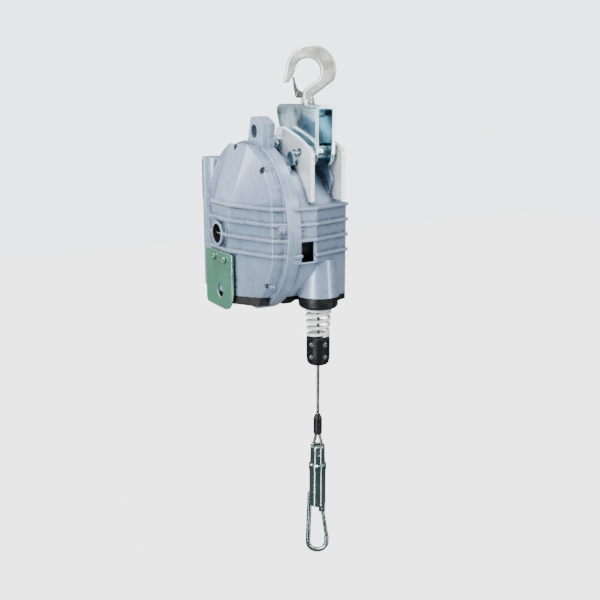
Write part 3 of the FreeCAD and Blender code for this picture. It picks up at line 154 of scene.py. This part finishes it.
def finish(name, color, metallic, roughness, grain=400.0, bump=0.05, drift=0.12, rough_drift=0.2,
           edge=0.0, edge_color=(0.7, 0.7, 0.7), edge_width=0.0008, hollow_shade=0.0,
           hollow_shade_color=(0.03, 0.03, 0.03), reach=0.006, lines=None, coat=0.0, tint=None,
           specular=0.5, bores=()):
    """Surface finish: colour and roughness drift with the speckle towards tint, outer edges show
    edge_color as wear and a painted highlight, hollows take a painted shade, bores a near-black
    painted shade, and lines draws the grain out along the axes."""
    made = bpy.data.materials.new(name)
    made.use_nodes = True
    tree = made.node_tree
    surface = tree.nodes["Principled BSDF"]
    surface.inputs["Metallic"].default_value = metallic
    surface.inputs["Coat Weight"].default_value = coat
    surface.inputs["Coat Roughness"].default_value = 0.12
    surface.inputs["Specular IOR Level"].default_value = specular
    speckle = put(tree, "Group", node_tree=SPECKLE)
    speckle.inputs["Scale"].default_value = grain
    share = put(tree, "MapRange", {"Value": speckle.outputs["Shade"], "From Min": 0.32,
                                   "From Max": 0.68})
    pale = [min(1.0, part * (1 + drift)) for part in color]
    deep = tint or [part * (1 - drift) for part in color]
    tone = put(tree, "Mix", {0: share.outputs["Result"], 6: (*deep, 1.0), 7: (*pale, 1.0)},
               data_type="RGBA")
    shade = tone.outputs[2]
    worn_lit_edge = put(tree, "Group", node_tree=EDGE_WEAR_AND_HIGHLIGHT)
    worn_lit_edge.inputs["Width"].default_value = edge_width
    # Painted shade: a dark colour mixed in where the occlusion mask finds corners and hollows.
    if hollow_shade:
        hollow = put(tree, "Group", node_tree=RECESS_SHADE)
        hollow.inputs["Reach"].default_value = reach
        amount = put(tree, "Math", {0: hollow.outputs["PaintedShade"], 1: hollow_shade}, operation="MULTIPLY")
        hollow_shaded = put(tree, "Mix", {0: amount.outputs[0], 6: shade, 7: (*hollow_shade_color, 1.0)},
                     data_type="RGBA")
        shade = hollow_shaded.outputs[2]
    # Outer edges lightened towards edge_color: partly wear, partly a painted highlight.
    if edge:
        amount = put(tree, "Math", {0: worn_lit_edge.outputs["Edge"], 1: edge}, operation="MULTIPLY")
        worn_lit_tone = put(tree, "Mix", {0: amount.outputs[0], 6: shade, 7: (*edge_color, 1.0)},
                     data_type="RGBA")
        shade = worn_lit_tone.outputs[2]
    # Near-black painted shade inside the machined bores.
    shade = shaded_bores(tree, shade, bores, (0.012, 0.011, 0.010))
    tree.links.new(shade, surface.inputs["Base Color"])
    rough = put(tree, "MapRange", {"Value": speckle.outputs["Shade"], "From Min": 0.3,
                                   "From Max": 0.7, "To Min": roughness * (1 - rough_drift),
                                   "To Max": roughness * (1 + rough_drift)})
    tree.links.new(rough.outputs["Result"], surface.inputs["Roughness"])
    height = speckle.outputs["Height"]
    if lines:
        place = put(tree, "TexCoord")
        drawn = put(tree, "Mapping", {"Vector": place.outputs["Object"], "Scale": lines})
        streaks = put(tree, "TexNoise", {"Vector": drawn.outputs["Vector"], "Scale": 1.0,
                                         "Detail": 4.0})
        height = streaks.outputs["Fac"]
    relief = put(tree, "Bump", {"Height": height, "Strength": bump, "Distance": 0.001,
                                "Normal": worn_lit_edge.outputs["Normal"]})
    tree.links.new(relief.outputs["Normal"], surface.inputs["Normal"])
    return made


def dress(surface, *names):
    """Give CAD nodes their finish."""
    for name in names:
        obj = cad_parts[name]
        obj.data.materials.clear()
        obj.data.materials.append(surface)


dress(finish("forged_hook_steel", (0.88, 0.88, 0.86), 0.9, 0.4, grain=520.0, bump=0.28,
             tint=(0.60, 0.60, 0.57), edge=0.5, edge_color=(0.85, 0.85, 0.82), edge_width=0.0014,
             hollow_shade=0.8, hollow_shade_color=(0.10, 0.09, 0.07)), "top_hook")

# ---------------------------------------------------------------- hook latch and nut
# Spring-loaded pressed latch on a rivet across the throat, and the turned nut and washer that
# carry the swivelling shank inside the bracket.
LATCH_STEEL = finish("latch_spring_steel", (0.42, 0.42, 0.41), 1.0, 0.27, grain=700.0, bump=0.06,
                     edge=0.6, edge_color=(0.8, 0.8, 0.78), hollow_shade=0.6)
dress(LATCH_STEEL, "hook_latch", "hook_latch_pin", "hook_latch_spring", "hook_washer", "hook_nut")

# ---------------------------------------------------------------- suspension bracket
# Bent strap of bright zinc-plated steel with a faint blue passivation, hung on a cross pin with
# a roller and two spacers between the ears.
BRACKET_ZINC = finish("blue_bright_zinc", (0.56, 0.76, 0.83), 1.0, 0.17, grain=210.0, bump=0.05,
                      tint=(0.40, 0.62, 0.69), rough_drift=0.45, edge=0.7,
                      edge_color=(0.86, 0.93, 0.95), edge_width=0.0016, hollow_shade=0.35,
                      hollow_shade_color=(0.06, 0.16, 0.2))
dress(BRACKET_ZINC, "suspension_bracket")
dress(finish("pin_zinc", (0.45, 0.58, 0.62), 1.0, 0.16, grain=260.0, tint=(0.25, 0.36, 0.4),
             lines=(900.0, 40.0, 900.0), bump=0.08, hollow_shade=0.5),
      "bracket_pin", "pin_roller", "pin_spacers")

# ---------------------------------------------------------------- ear plates
# Laser-cut steel plates bolted to the cast ears, white zinc plated: nearly white, with faint
# rolled lines, and edges lighter, partly clean-cut metal and partly a painted highlight.
dress(finish("white_zinc_sheet", (0.90, 0.91, 0.93), 0.55, 0.34, grain=240.0, bump=0.05,
             tint=(0.80, 0.81, 0.84), lines=(60.0, 60.0, 900.0), edge=0.6,
             edge_color=(1.0, 1.0, 1.0), hollow_shade=0.4, hollow_shade_color=(0.35, 0.33, 0.34)),
      "near_ear_plate", "far_ear_plate")


# ---------------------------------------------------------------- ear bolts
# M12 hexagon bolts that clamp each ear plate to its cast ear: chamfered head, washer face, plain
# washer and rolled thread.
def solids_of(node):
    """Box of each separate solid in a CAD node, as (solids, 2, 3).  Points in one 2 micrometre
    cell are one point, and each triangle hands its lowest label to its corners until none
    changes."""
    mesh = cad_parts[node].data
    points = np.empty(len(mesh.vertices) * 3)
    mesh.vertices.foreach_get("co", points)
    points = points.reshape(-1, 3)
    mesh.calc_loop_triangles()
    faces = np.empty(len(mesh.loop_triangles) * 3, dtype=np.int64)
    mesh.loop_triangles.foreach_get("vertices", faces)
    _, same = np.unique(np.round(points / 2e-6).astype(np.int64), axis=0, return_inverse=True)
    same = same.reshape(-1)
    faces = same[faces].reshape(-1, 3)
    label = np.arange(same.max() + 1)
    settled = False
    while not settled:
        lowest = label[faces].min(axis=1)
        handed = label.copy()
        np.minimum.at(handed, faces.ravel(), np.repeat(lowest, 3))
        handed = handed[handed]
        settled = np.array_equal(handed, label)
        label = handed
    owner = label[same]
    return np.array([[points[owner == k].min(0), points[owner == k].max(0)]
                     for k in np.unique(owner)])


def lathe(profile, columns=48, factor=None):
    """Grid turned about +Y: each row of profile is (radius, depth), and factor, of rows by
    columns, scales the radius round the turn."""
    angle = np.linspace(0, 2 * math.pi, columns, endpoint=False)
    radius = np.asarray([row[0] for row in profile])[:, None] * np.ones(columns)
    depth = np.asarray([row[1] for row in profile])[:, None] * np.ones(columns)
    if factor is not None:
        radius = radius * factor
    return np.stack([radius * np.cos(angle), depth, radius * np.sin(angle)], axis=-1)


def hexagon(columns):
    """Reach of a hexagon of unit half-flats round the turn: 1 / cos of the angle to the flat."""
    angle = np.linspace(0, 2 * math.pi, columns, endpoint=False)
    return 1 / np.cos((angle % (math.pi / 3)) - math.pi / 6)


def aimed(grid, place, direction=(0, 1, 0)):
    """Grid moved so that its origin is at place and its +Y axis points along direction."""
    along = np.asarray(direction, dtype=float)
    along = along / np.linalg.norm(along)
    helper = np.array([0.0, 0.0, 1.0]) if abs(along[2]) < 0.9 else np.array([1.0, 0.0, 0.0])
    side = np.cross(along, helper)
    side = side / np.linalg.norm(side)
    frame_axes = np.stack([side, along, np.cross(side, along)])
    return grid @ frame_axes + np.asarray(place)


def build(name, grids, surface, body, slot, *stands_for):
    """One mesh from grids whose columns are wrapped.  The end rows are drawn in to their middle,
    and a grid that encloses a negative volume is turned round."""
    corners, quads, first = [], [], 0
    for grid in grids:
        ends = [row.mean(axis=1, keepdims=True).repeat(grid.shape[1], axis=1)
                for row in (grid[:1], grid[-1:])]
        grid = np.concatenate([ends[0], grid, ends[1]])
        rows, columns = grid.shape[:2]
        a, b = np.meshgrid(np.arange(rows - 1), np.arange(columns), indexing="ij")
        above, beside = a + 1, (b + 1) % columns
        face = np.stack([a * columns + b, a * columns + beside, above * columns + beside,
                         above * columns + b], axis=-1).reshape(-1, 4)
        flat = grid.reshape(-1, 3)
        p, q, r, s = (flat[face[:, i]] - flat.mean(axis=0) for i in range(4))
        volume = (np.cross(p, q) * r).sum() + (np.cross(p, r) * s).sum()
        if volume < 0:
            face = face[:, ::-1]
        corners.append(flat)
        quads.append(face + first)
        first += len(flat)
    mesh = bpy.data.meshes.new(name)
    mesh.from_pydata(np.concatenate(corners).tolist(), [], np.concatenate(quads).tolist())
    work = bmesh.new()
    work.from_mesh(mesh)
    bmesh.ops.remove_doubles(work, verts=work.verts, dist=1e-7)
    work.to_mesh(mesh)
    work.free()
    mesh.polygons.foreach_set("use_smooth", [True] * len(mesh.polygons))
    mesh.set_sharp_from_angle(angle=math.radians(38))
    made = bpy.data.objects.new(name, mesh)
    bpy.context.scene.collection.objects.link(made)
    mesh.materials.append(surface)
    if stands_for:
        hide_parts(*stands_for)
    if body:
        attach(made, body)
    return made


def hex_bolt(radius, reach, flats, head, columns=60):
    """Hexagon bolt along +Y from the underside of its washer at 0: head with a 30 degree chamfer,
    washer face, washer, and a thread whose radius falls and rises with depth less turn."""
    half = flats / 2
    washer = 0.4 * radius
    sides = hexagon(columns)
    chamfer = np.maximum(half * sides - 0.95 * half, 0) * 0.55
    top = -washer * 0.62 - head
    grid = lathe([(0.3 * half, top), (0.88 * half, top), (0.95 * half, top + 0.0001), (half, top),
                  (half, -washer), (0.97 * half, -washer)], columns)
    grid[3] = lathe([(half, top + 0.0001)], columns, sides[None, :])[0]
    grid[3, :, 1] += chamfer
    grid[4] = lathe([(half, -washer - 0.0004)], columns, sides[None, :])[0]
    ring = lathe([(radius, -washer), (1.93 * radius, -washer), (2 * radius, -washer + 0.0003),
                  (2 * radius, -0.00002), (radius, -0.00002)], columns)
    depth = np.arange(0, reach - 0.0008, 0.0004)
    turn = np.linspace(0, 1, columns, endpoint=False)
    phase = (depth[:, None] / 0.00175 - turn) % 1
    thread = 1 - 0.1 * np.abs(2 * phase - 1)
    shank = lathe([(radius, y) for y in depth], columns, thread)
    tip = lathe([(0.85 * radius, reach)], columns)
    return [grid, ring, np.concatenate([shank, tip])]


bolt_grids = []
for low, high in solids_of("ear_bolts"):
    near = low[1] < 0 and high[1] < 0
    facing = 1.0 if near else -1.0
    under_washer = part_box("near_ear_plate")[0][1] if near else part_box("far_ear_plate")[1][1]
    middle = (low + high) / 2
    tip = high[1] if near else low[1]
    bolt_grids += [aimed(grid, (middle[0], under_washer, middle[2]), (0, facing, 0))
                   for grid in hex_bolt(0.006, abs(tip - under_washer), 0.019, 0.0075)]
build("ear_hex_bolts", bolt_grids,
      finish("bolt_zinc", (0.50, 0.64, 0.66), 1.0, 0.2, grain=600.0, bump=0.1,
             tint=(0.22, 0.36, 0.38), edge=0.8, edge_color=(0.95, 1.0, 1.0), edge_width=0.0006,
             hollow_shade=0.9, hollow_shade_color=(0.03, 0.07, 0.08), reach=0.004),
      "housing", "zinc_steel", "ear_bolts")

# ---------------------------------------------------------------- casing
# Two pressure die-castings joined at a flange, in light blue-grey metallic paint with a fine
# orange peel: soft cast edges with a painted highlight, painted shade in the corners under the
# ribs, and near-black painted shade in the shaft and lug bores.
shaft_low, shaft_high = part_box("main_shaft")
shaft_x, shaft_z = (shaft_low[0] + shaft_high[0]) / 2, (shaft_low[2] + shaft_high[2]) / 2
lug_bore = (shaft_x + 0.020, shaft_z + 0.147, 0.0096)
for casting, bores in (("front_cover", [(shaft_x, shaft_z, 0.0142), lug_bore]),
                       ("rear_housing", [lug_bore])):
    dress(finish(casting + "_paint", (0.285, 0.38, 0.53), 0.3, 0.33, grain=1100.0, bump=0.02,
                 drift=0.05, tint=(0.24, 0.33, 0.475), edge=0.5, edge_color=(0.62, 0.72, 0.86),
                 edge_width=0.002, hollow_shade=1.0, hollow_shade_color=(0.03, 0.045, 0.07), reach=0.012,
                 coat=0.45, bores=bores), casting)


# ---------------------------------------------------------------- flange screws
# Socket-head screws sunk into seats round the joint flange, painted over with the casing: knurled
# head, hexagon socket with a drilled bottom.
def cap_screw(radius, reach, head_radius, head, columns=72):
    """Socket-head screw along +Y from its head's face at 0.  The knurl is a cosine round the
    head, and the socket rows are scaled to a hexagon."""
    turn = np.linspace(0, 2 * math.pi, columns, endpoint=False)
    socket = 0.5 * head_radius
    knurl = 1 + 0.02 * np.cos(turn * columns / 3)
    plain = np.ones(columns)
    rows = [(0.0, 0.62 * head, plain), (0.9 * socket, 0.5 * head, plain),
            (socket, 0.5 * head, hexagon(columns)), (socket, 0.0004, hexagon(columns)),
            (1.2 * socket, 0.0, plain), (0.86 * head_radius, 0.0, plain),
            (0.97 * head_radius, 0.1 * head, plain), (0.98 * head_radius, 0.16 * head, knurl),
            (0.98 * head_radius, 0.9 * head, knurl), (0.96 * head_radius, head, plain),
            (radius, head, plain), (radius, head + reach - 0.0005, plain),
            (0.8 * radius, head + reach, plain)]
    return lathe([(r, y) for r, y, _ in rows], columns, np.stack([row[2] for row in rows]))


build("flange_cap_screws",
      [aimed(cap_screw(0.0029, high[1] - low[1] - 0.004, 0.0046, 0.004),
             ((low[0] + high[0]) / 2, low[1], (low[2] + high[2]) / 2))
       for low, high in solids_of("flange_screws")],
      finish("painted_over_screws", (0.30, 0.36, 0.43), 0.4, 0.4, grain=900.0, edge=0.5,
             edge_color=(0.6, 0.66, 0.72), hollow_shade=0.9, hollow_shade_color=(0.05, 0.06, 0.08), reach=0.004),
      "housing", "dark_screw_steel", "flange_screws")

# ---------------------------------------------------------------- worm adjuster
# Hardened worm on its bush and bearing inside the column at the left, under a cover plate that
# is held by two small socket-head screws.
WORM_STEEL = finish("ground_worm_steel", (0.5, 0.5, 0.52), 1.0, 0.25, grain=800.0, bump=0.05,
                    lines=(40.0, 40.0, 1500.0), hollow_shade=0.6, hollow_shade_color=(0.06, 0.045, 0.02))
dress(WORM_STEEL, "worm_screw", "worm_top_bearing")
BRONZE = finish("sintered_bronze", (0.28, 0.19, 0.10), 1.0, 0.42, grain=1400.0, bump=0.16,
                tint=(0.16, 0.10, 0.05), hollow_shade=0.6, hollow_shade_color=(0.03, 0.02, 0.01))
dress(BRONZE, "worm_bush", "worm_wheel", "front_shaft_bush", "rear_shaft_bush")
dress(finish("cover_plate_paint", (0.33, 0.39, 0.46), 0.3, 0.4, grain=900.0, edge=0.5,
             edge_color=(0.6, 0.66, 0.72), hollow_shade=0.5), "worm_cover_plate")
ZINC_SCREWS = finish("small_screw_zinc", (0.5, 0.55, 0.54), 1.0, 0.26, grain=800.0, edge=0.6,
                     hollow_shade=1.0, hollow_shade_color=(0.02, 0.03, 0.03), reach=0.003)
build("cover_cap_screws",
      [aimed(cap_screw(0.0025, high[0] - low[0] - 0.003, 0.0044, 0.003),
             (low[0], (low[1] + high[1]) / 2, (low[2] + high[2]) / 2), (1, 0, 0))
       for low, high in solids_of("worm_cover_screws")],
      ZINC_SCREWS, "housing", "dark_screw_steel", "worm_cover_screws")

# ---------------------------------------------------------------- shaft, drum and springs
# Ground shaft whose tang shows in the front boss, the cast conical drum with its wound rope, and
# the flat power spring in its pressed case.
SHAFT_STEEL = finish("ground_shaft_steel", (0.56, 0.57, 0.58), 1.0, 0.22, grain=800.0, bump=0.05,
                     lines=(1400.0, 60.0, 1400.0), edge=0.5, edge_color=(0.9, 0.9, 0.9), hollow_shade=0.5)
dress(SHAFT_STEEL, "main_shaft", "shaft_retaining_ring", "drum_spacer", "spring_arbor",
      "front_drum_bearing", "rear_drum_bearing")
dress(finish("pressed_case_steel", (0.34, 0.34, 0.33), 1.0, 0.4, grain=300.0, bump=0.08,
             tint=(0.22, 0.21, 0.19), hollow_shade=0.5), "spring_case", "spring_case_lid")
dress(finish("blue_spring_strip", (0.16, 0.19, 0.26), 1.0, 0.3, grain=300.0, bump=0.05,
             lines=(30.0, 1500.0, 30.0), edge=0.5), "power_spring")
dress(finish("cast_drum_aluminium", (0.55, 0.56, 0.57), 1.0, 0.42, grain=700.0, bump=0.25,
             tint=(0.42, 0.43, 0.44), hollow_shade=0.6), "rope_drum")

# ---------------------------------------------------------------- lock plate
# Green passivated steel plate on two small screws, under the boss at the shaft's end: a
# yellow-green bloom over bright zinc, its cut edges lighter, partly bare zinc and partly a painted
# highlight.
dress(finish("green_passivation", (0.10, 0.36, 0.22), 0.7, 0.3, grain=170.0, bump=0.05,
             tint=(0.17, 0.42, 0.31), rough_drift=0.4, edge=0.75, edge_color=(0.7, 0.92, 0.8),
             edge_width=0.0014, hollow_shade=0.5, hollow_shade_color=(0.02, 0.08, 0.05)), "lock_plate")
build("lock_cap_screws",
      [aimed(cap_screw(0.003, high[1] - low[1] - 0.003, 0.005, 0.003),
             ((low[0] + high[0]) / 2, low[1], (low[2] + high[2]) / 2))
       for low, high in solids_of("lock_plate_screws")],
      finish("green_screw_zinc", (0.3, 0.45, 0.36), 1.0, 0.28, grain=800.0, edge=0.7,
             edge_color=(0.75, 0.9, 0.82), hollow_shade=1.0, hollow_shade_color=(0.01, 0.03, 0.02), reach=0.003),
      "housing", "dark_screw_steel", "lock_plate_screws")

# ---------------------------------------------------------------- sumps and rope guide
# Black moulded plastic with a spark-eroded skin: two covers that close the casings below, the
# guide that the rope leaves through and the sleeve at the rope's end.
dress(finish("black_moulded_plastic", (0.004, 0.004, 0.005), 0.0, 0.38, grain=1500.0, bump=0.15,
             tint=(0.007, 0.007, 0.008), edge=0.35, edge_color=(0.03, 0.03, 0.035),
             specular=0.3), "front_sump", "rear_sump", "rope_guide", "rope_sleeve")


# ---------------------------------------------------------------- stop spring
# White-coated conical spring under the guide that softens the stop: round wire, its end turns
# closed flat on the guide and on the clamp.
def carried(line, radius, sides=12, spin=0.0):
    """Round tube carried along a line of points.  The section's first axis is kept square to the
    line by taking away the part along it, starting from the direction least along the line."""
    ahead = np.gradient(line, axis=0)
    ahead = ahead / np.linalg.norm(ahead, axis=1, keepdims=True)
    start = np.eye(3)[np.abs(ahead).sum(axis=0).argmin()]
    first = start - (ahead @ start)[:, None] * ahead
    first = first / np.linalg.norm(first, axis=1, keepdims=True)
    second = np.cross(ahead, first)
    angle = np.linspace(0, 2 * math.pi, sides, endpoint=False) + spin
    return (line[:, None] + radius * (np.cos(angle)[None, :, None] * first[:, None]
                                      + np.sin(angle)[None, :, None] * second[:, None]))


spring_low, spring_high = (np.asarray(corner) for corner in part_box("stop_spring"))
spring_wire = 0.0044
share = np.linspace(0, 1, 420)
spring_turns = 5.2
turned_by = 2 * math.pi * spring_turns * share
climb = np.clip((share - 0.13) / 0.74, 0, 1)
rope_axis = (np.asarray(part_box("wire_rope")[0]) + np.asarray(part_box("wire_rope")[1])) / 2
wide = np.interp(climb, [0, 1], [0.0152, 0.0176])
height = spring_low[2] + spring_wire / 2 + climb * (spring_high[2] - spring_low[2] - spring_wire)
spring_line = np.stack([rope_axis[0] + wide * np.cos(turned_by),
                        rope_axis[1] + wide * np.sin(turned_by), height], axis=-1)
build("stop_spring_coil", [carried(spring_line, spring_wire / 2, 14)],
      finish("white_spring_coat", (0.86, 0.87, 0.86), 0.0, 0.33, grain=700.0, bump=0.08,
             tint=(0.74, 0.75, 0.74), hollow_shade=0.6, hollow_shade_color=(0.28, 0.27, 0.25), coat=0.3),
      "housing", "white_spring", "stop_spring")

# ---------------------------------------------------------------- wire rope
# Six strands of six wires laid left-hand round a core strand, galvanised and lightly oiled.  It
# leaves the guide, runs through the clamp and ends in the black sleeve.
rope_exit = (float(rope_axis[0]), float(rope_axis[1]), float(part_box("wire_rope")[1][2]))
rope_end = float(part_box("wire_rope")[0][2])
rope_length = rope_exit[2] - rope_end
ROPE_WIRE = finish("galvanised_rope_wire", (0.36, 0.37, 0.37), 1.0, 0.32, grain=1500.0, bump=0.05,
                   tint=(0.2, 0.2, 0.2), hollow_shade=1.0, hollow_shade_color=(0.02, 0.02, 0.02), reach=0.0012)


def read_route(name, points):
    """Points along the smooth NURBS line that has the given control points."""
    curve = bpy.data.curves.new(name, "CURVE")
    curve.dimensions = "3D"
    spline = curve.splines.new("NURBS")
    spline.points.add(len(points) - 1)
    spline.points.foreach_set("co", np.column_stack([points, np.ones(len(points))]).ravel())
    spline.order_u = 3
    spline.use_endpoint_u = True
    spline.resolution_u = 24
    holder = bpy.data.objects.new(name, curve)
    mesh = bpy.data.meshes.new_from_object(holder)
    line = np.empty(len(mesh.vertices) * 3)
    mesh.vertices.foreach_get("co", line)
    bpy.data.objects.remove(holder)
    return line.reshape(-1, 3)


def laid_rope(route, radius, flat_axis, step=0.0012, lay=0.034, twist=0.013):
    """Strands and wires carried along a route.  A strand's centre stands two thirds of the radius
    from the route and turns once per lay.  Its wires turn the same way, faster than the strand."""
    run = np.concatenate([[0], np.cumsum(np.linalg.norm(np.diff(route, axis=0), axis=1))])
    at = np.linspace(0, run[-1], max(int(run[-1] / step), 12))
    line = np.stack([np.interp(at, run, route[:, i]) for i in range(3)], axis=-1)
    ahead = np.gradient(line, axis=0)
    ahead = ahead / np.linalg.norm(ahead, axis=1, keepdims=True)
    across = np.cross(ahead, np.asarray(flat_axis))
    across = across / np.linalg.norm(across, axis=1, keepdims=True)
    beside = np.cross(across, ahead)
    strand_at, wire_at = radius * 2 / 3, radius * 2 / 9
    grids = [carried(line, radius / 3, 10)]
    for strand in range(6):
        angle = 2 * math.pi * (at / lay + strand / 6)
        outward = np.cos(angle)[:, None] * across + np.sin(angle)[:, None] * beside
        round_it = np.cross(ahead, outward)
        for wire in range(6):
            turn = 2 * math.pi * (-at / twist + wire / 6)
            offset = (strand_at * outward + wire_at * (np.cos(turn)[:, None] * outward
                                                       + np.sin(turn)[:, None] * round_it))
            grids.append(carried(line + offset, radius / 9 * 1.04, 6))
    return grids


rope_route = read_route("rope_route", [
    (rope_exit[0], rope_exit[1], rope_exit[2] - rope_length * part)
    for part in (0, 0.2, 0.4, 0.6, 0.8, 1)])
rope = build("laid_wire_rope", laid_rope(rope_route, 0.00248, (0, 1, 0), step=0.0016),
             ROPE_WIRE, None, "rope_steel", "wire_rope")
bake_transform(rope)
dress(ROPE_WIRE, "rope_on_drum")

# ---------------------------------------------------------------- rope clamp
# Two black moulded halves clamped on the rope by four bright socket-head screws: the stop that
# meets the spring.
dress(finish("black_clamp_moulding", (0.004, 0.004, 0.005), 0.0, 0.34, grain=1200.0, bump=0.1,
             tint=(0.008, 0.008, 0.01), edge=0.4, edge_color=(0.05, 0.05, 0.055),
             edge_width=0.0012, specular=0.2), "rope_stop_front", "rope_stop_back")
load_turn = math.radians(61)
clamp_facing = (-math.sin(load_turn), math.cos(load_turn), 0.0)
dress(finish("clamp_screw_nickel", (0.7, 0.72, 0.72), 1.0, 0.22, grain=900.0, edge=0.6,
             hollow_shade=1.0, hollow_shade_color=(0.05, 0.05, 0.05), reach=0.003), "rope_stop_screws")

# ---------------------------------------------------------------- rope eye, thimble and pin
# The rope turns back round a small thimble on the fork's cross pin, and both legs go up into the
# pressed sleeve.
eye_low, eye_high = (np.asarray(corner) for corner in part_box("rope_eye"))
eye_across = np.array([math.cos(load_turn), math.sin(load_turn), 0.0])
eye_centre = (rope_axis[0], rope_axis[1], (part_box("thimble")[0][2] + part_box("thimble")[1][2]) / 2)
eye_reach = eye_centre[2] - eye_low[2] - 0.0025
eye_top = float(eye_high[2])
around = np.radians(np.arange(160, 381, 20))
leg = [(-0.0024, eye_top), (-0.0034, eye_top - 0.006), (-eye_reach * 0.86, eye_centre[2] + 0.0095)]
bow = [(eye_reach * 1.02 * math.cos(a), eye_centre[2] + eye_reach * 1.02 * math.sin(a))
       for a in around]
back = [(-x, z) for x, z in reversed(leg)]
eye_route = read_route("eye_route", [
    tuple(np.asarray(eye_centre) * (1, 1, 0) + eye_across * x + np.array([0, 0, z]))
    for x, z in leg + bow + back])
build("rope_eye_loop", laid_rope(eye_route, 0.00245, clamp_facing, step=0.0008, lay=0.03),
      ROPE_WIRE, "load", "rope_steel", "rope_eye")
EYE_STEEL = finish("thimble_nickel", (0.55, 0.6, 0.58), 1.0, 0.2, grain=600.0, bump=0.06,
                   tint=(0.32, 0.38, 0.36), hollow_shade=0.7, hollow_shade_color=(0.02, 0.03, 0.03))
dress(EYE_STEEL, "thimble", "eye_pin")

# ---------------------------------------------------------------- swivel and snap hook
# Turned fork, ring collar and barrel of nickel-plated steel, and the bent wire snap hook with
# its sprung gate, given a dark teal base colour that is a painted reflection.
# Dark teal base colour: a painted reflection, not the nickel's own colour.
SWIVEL_NICKEL = finish("swivel_nickel", (0.34, 0.49, 0.46), 1.0, 0.13, grain=260.0, bump=0.012,
                       tint=(0.20, 0.32, 0.30), rough_drift=0.4, lines=(500.0, 500.0, 1600.0),
                       edge=0.8, edge_color=(0.88, 0.96, 0.93), edge_width=0.0008, hollow_shade=0.8,
                       hollow_shade_color=(0.02, 0.04, 0.04), reach=0.004)
dress(SWIVEL_NICKEL, "swivel_fork", "swivel_barrel", "swivel_collar", "swivel_bearing")
# Dark teal base colour: a painted reflection, not the nickel's own colour.
dress(finish("snap_hook_nickel", (0.36, 0.48, 0.46), 1.0, 0.15, grain=340.0, bump=0.015,
             tint=(0.16, 0.23, 0.22), rough_drift=0.4, edge=0.5, edge_color=(0.9, 0.95, 0.93),
             hollow_shade=0.6, hollow_shade_color=(0.02, 0.03, 0.03)),
      "snap_hook", "snap_gate", "gate_pin", "gate_spring")

# ---------------------------------------------------------------- floor, light and camera
# A plain pale floor far below the hanging part, soft lights, and the camera about 60 degrees to
# the right of the bonnet's face, looking slightly down.
sheet = bpy.data.meshes.new("backdrop")
floor_reach, floor_level = 14, -2.85
sheet.from_pydata([(x * floor_reach, y * floor_reach, floor_level)
                   for x, y in ((-1, -1), (1, -1), (1, 1), (-1, 1))], [], [(0, 1, 2, 3)])
floor = bpy.data.objects.new("backdrop", sheet)
bpy.context.scene.collection.objects.link(floor)
paper = bpy.data.materials.new("pale_paper")
paper.use_nodes = True
paper.node_tree.nodes["Principled BSDF"].inputs["Base Color"].default_value = (0.14, 0.14, 0.15, 1)
paper.node_tree.nodes["Principled BSDF"].inputs["Roughness"].default_value = 0.8
seen = put(paper.node_tree, "LightPath")
backdrop_glow = 3.6
glow = put(paper.node_tree, "Emission", {"Strength": backdrop_glow})
both = put(paper.node_tree, "MixShader", {
    0: seen.outputs["Is Camera Ray"],
    1: paper.node_tree.nodes["Principled BSDF"].outputs["BSDF"],
    2: glow.outputs["Emission"]})
paper.node_tree.links.new(both.outputs["Shader"],
                          paper.node_tree.nodes["Material Output"].inputs["Surface"])
floor.data.materials.append(paper)
world = bpy.data.worlds.new("studio")
bpy.context.scene.world = world
world.use_nodes = True
room = world.node_tree
facing = put(room, "TexCoord")
height = put(room, "SeparateXYZ", {"Vector": facing.outputs["Generated"]})
dim = put(room, "MapRange", {"Value": height.outputs["Z"], "From Min": -0.1, "From Max": 0.9,
                             "To Min": 0.09, "To Max": 1.2})
seen = put(room, "LightPath")
level = put(room, "Mix", {0: seen.outputs["Is Camera Ray"], 2: dim.outputs["Result"],
                          3: backdrop_glow}, data_type="FLOAT")
room.links.new(level.outputs[0], room.nodes["Background"].inputs["Strength"])
room.nodes["Background"].inputs["Color"].default_value = (0.93, 0.97, 1.0, 1)


def area_light(name, place, aim, width, height, power, color=(1, 1, 1)):
    """Soft rectangular light at place, facing aim."""
    data = bpy.data.lights.new(name, "AREA")
    data.shape = "RECTANGLE"
    data.size, data.size_y = width, height
    data.energy = power
    data.color = color
    lamp = bpy.data.objects.new(name, data)
    lamp.location = place
    lamp.rotation_euler = (Vector(aim) - Vector(place)).to_track_quat("-Z", "Y").to_euler()
    lamp.visible_camera = False
    bpy.context.scene.collection.objects.link(lamp)


area_light("front_softbox", (1.0, -1.9, -0.1), (0, 0, -0.35), 0.8, 2.1, 74)
area_light("top_softbox", (0.3, -0.5, 1.5), (0, 0, -0.25), 0.9, 0.9, 42)
area_light("left_strip", (-1.3, -1.1, 0.3), (0, 0, -0.3), 0.4, 1.6, 18, (0.95, 0.97, 1.0))
area_light("right_strip", (1.5, 1.1, 0.1), (0, 0, -0.35), 0.35, 1.6, 22)
area_light("low_left_strip", (0.28, -0.68, -0.95), (0.033, 0, -0.66), 0.06, 0.45, 1.3)
area_light("low_right_strip", (0.71, 0.25, -0.95), (0.033, 0, -0.66), 0.04, 0.45, 0.9)

camera_data = bpy.data.cameras.new("main_camera")
camera_data.lens = 54.7
camera_data.sensor_width = 36
camera = bpy.data.objects.new("main_camera", camera_data)
camera.location = (1.162, -0.657, -0.033)
aim = Vector((-0.019, -0.002, -0.356))
camera.rotation_euler = (aim - camera.location).to_track_quat("-Z", "Y").to_euler()
bpy.context.scene.collection.objects.link(camera)
bpy.context.scene.camera = camera
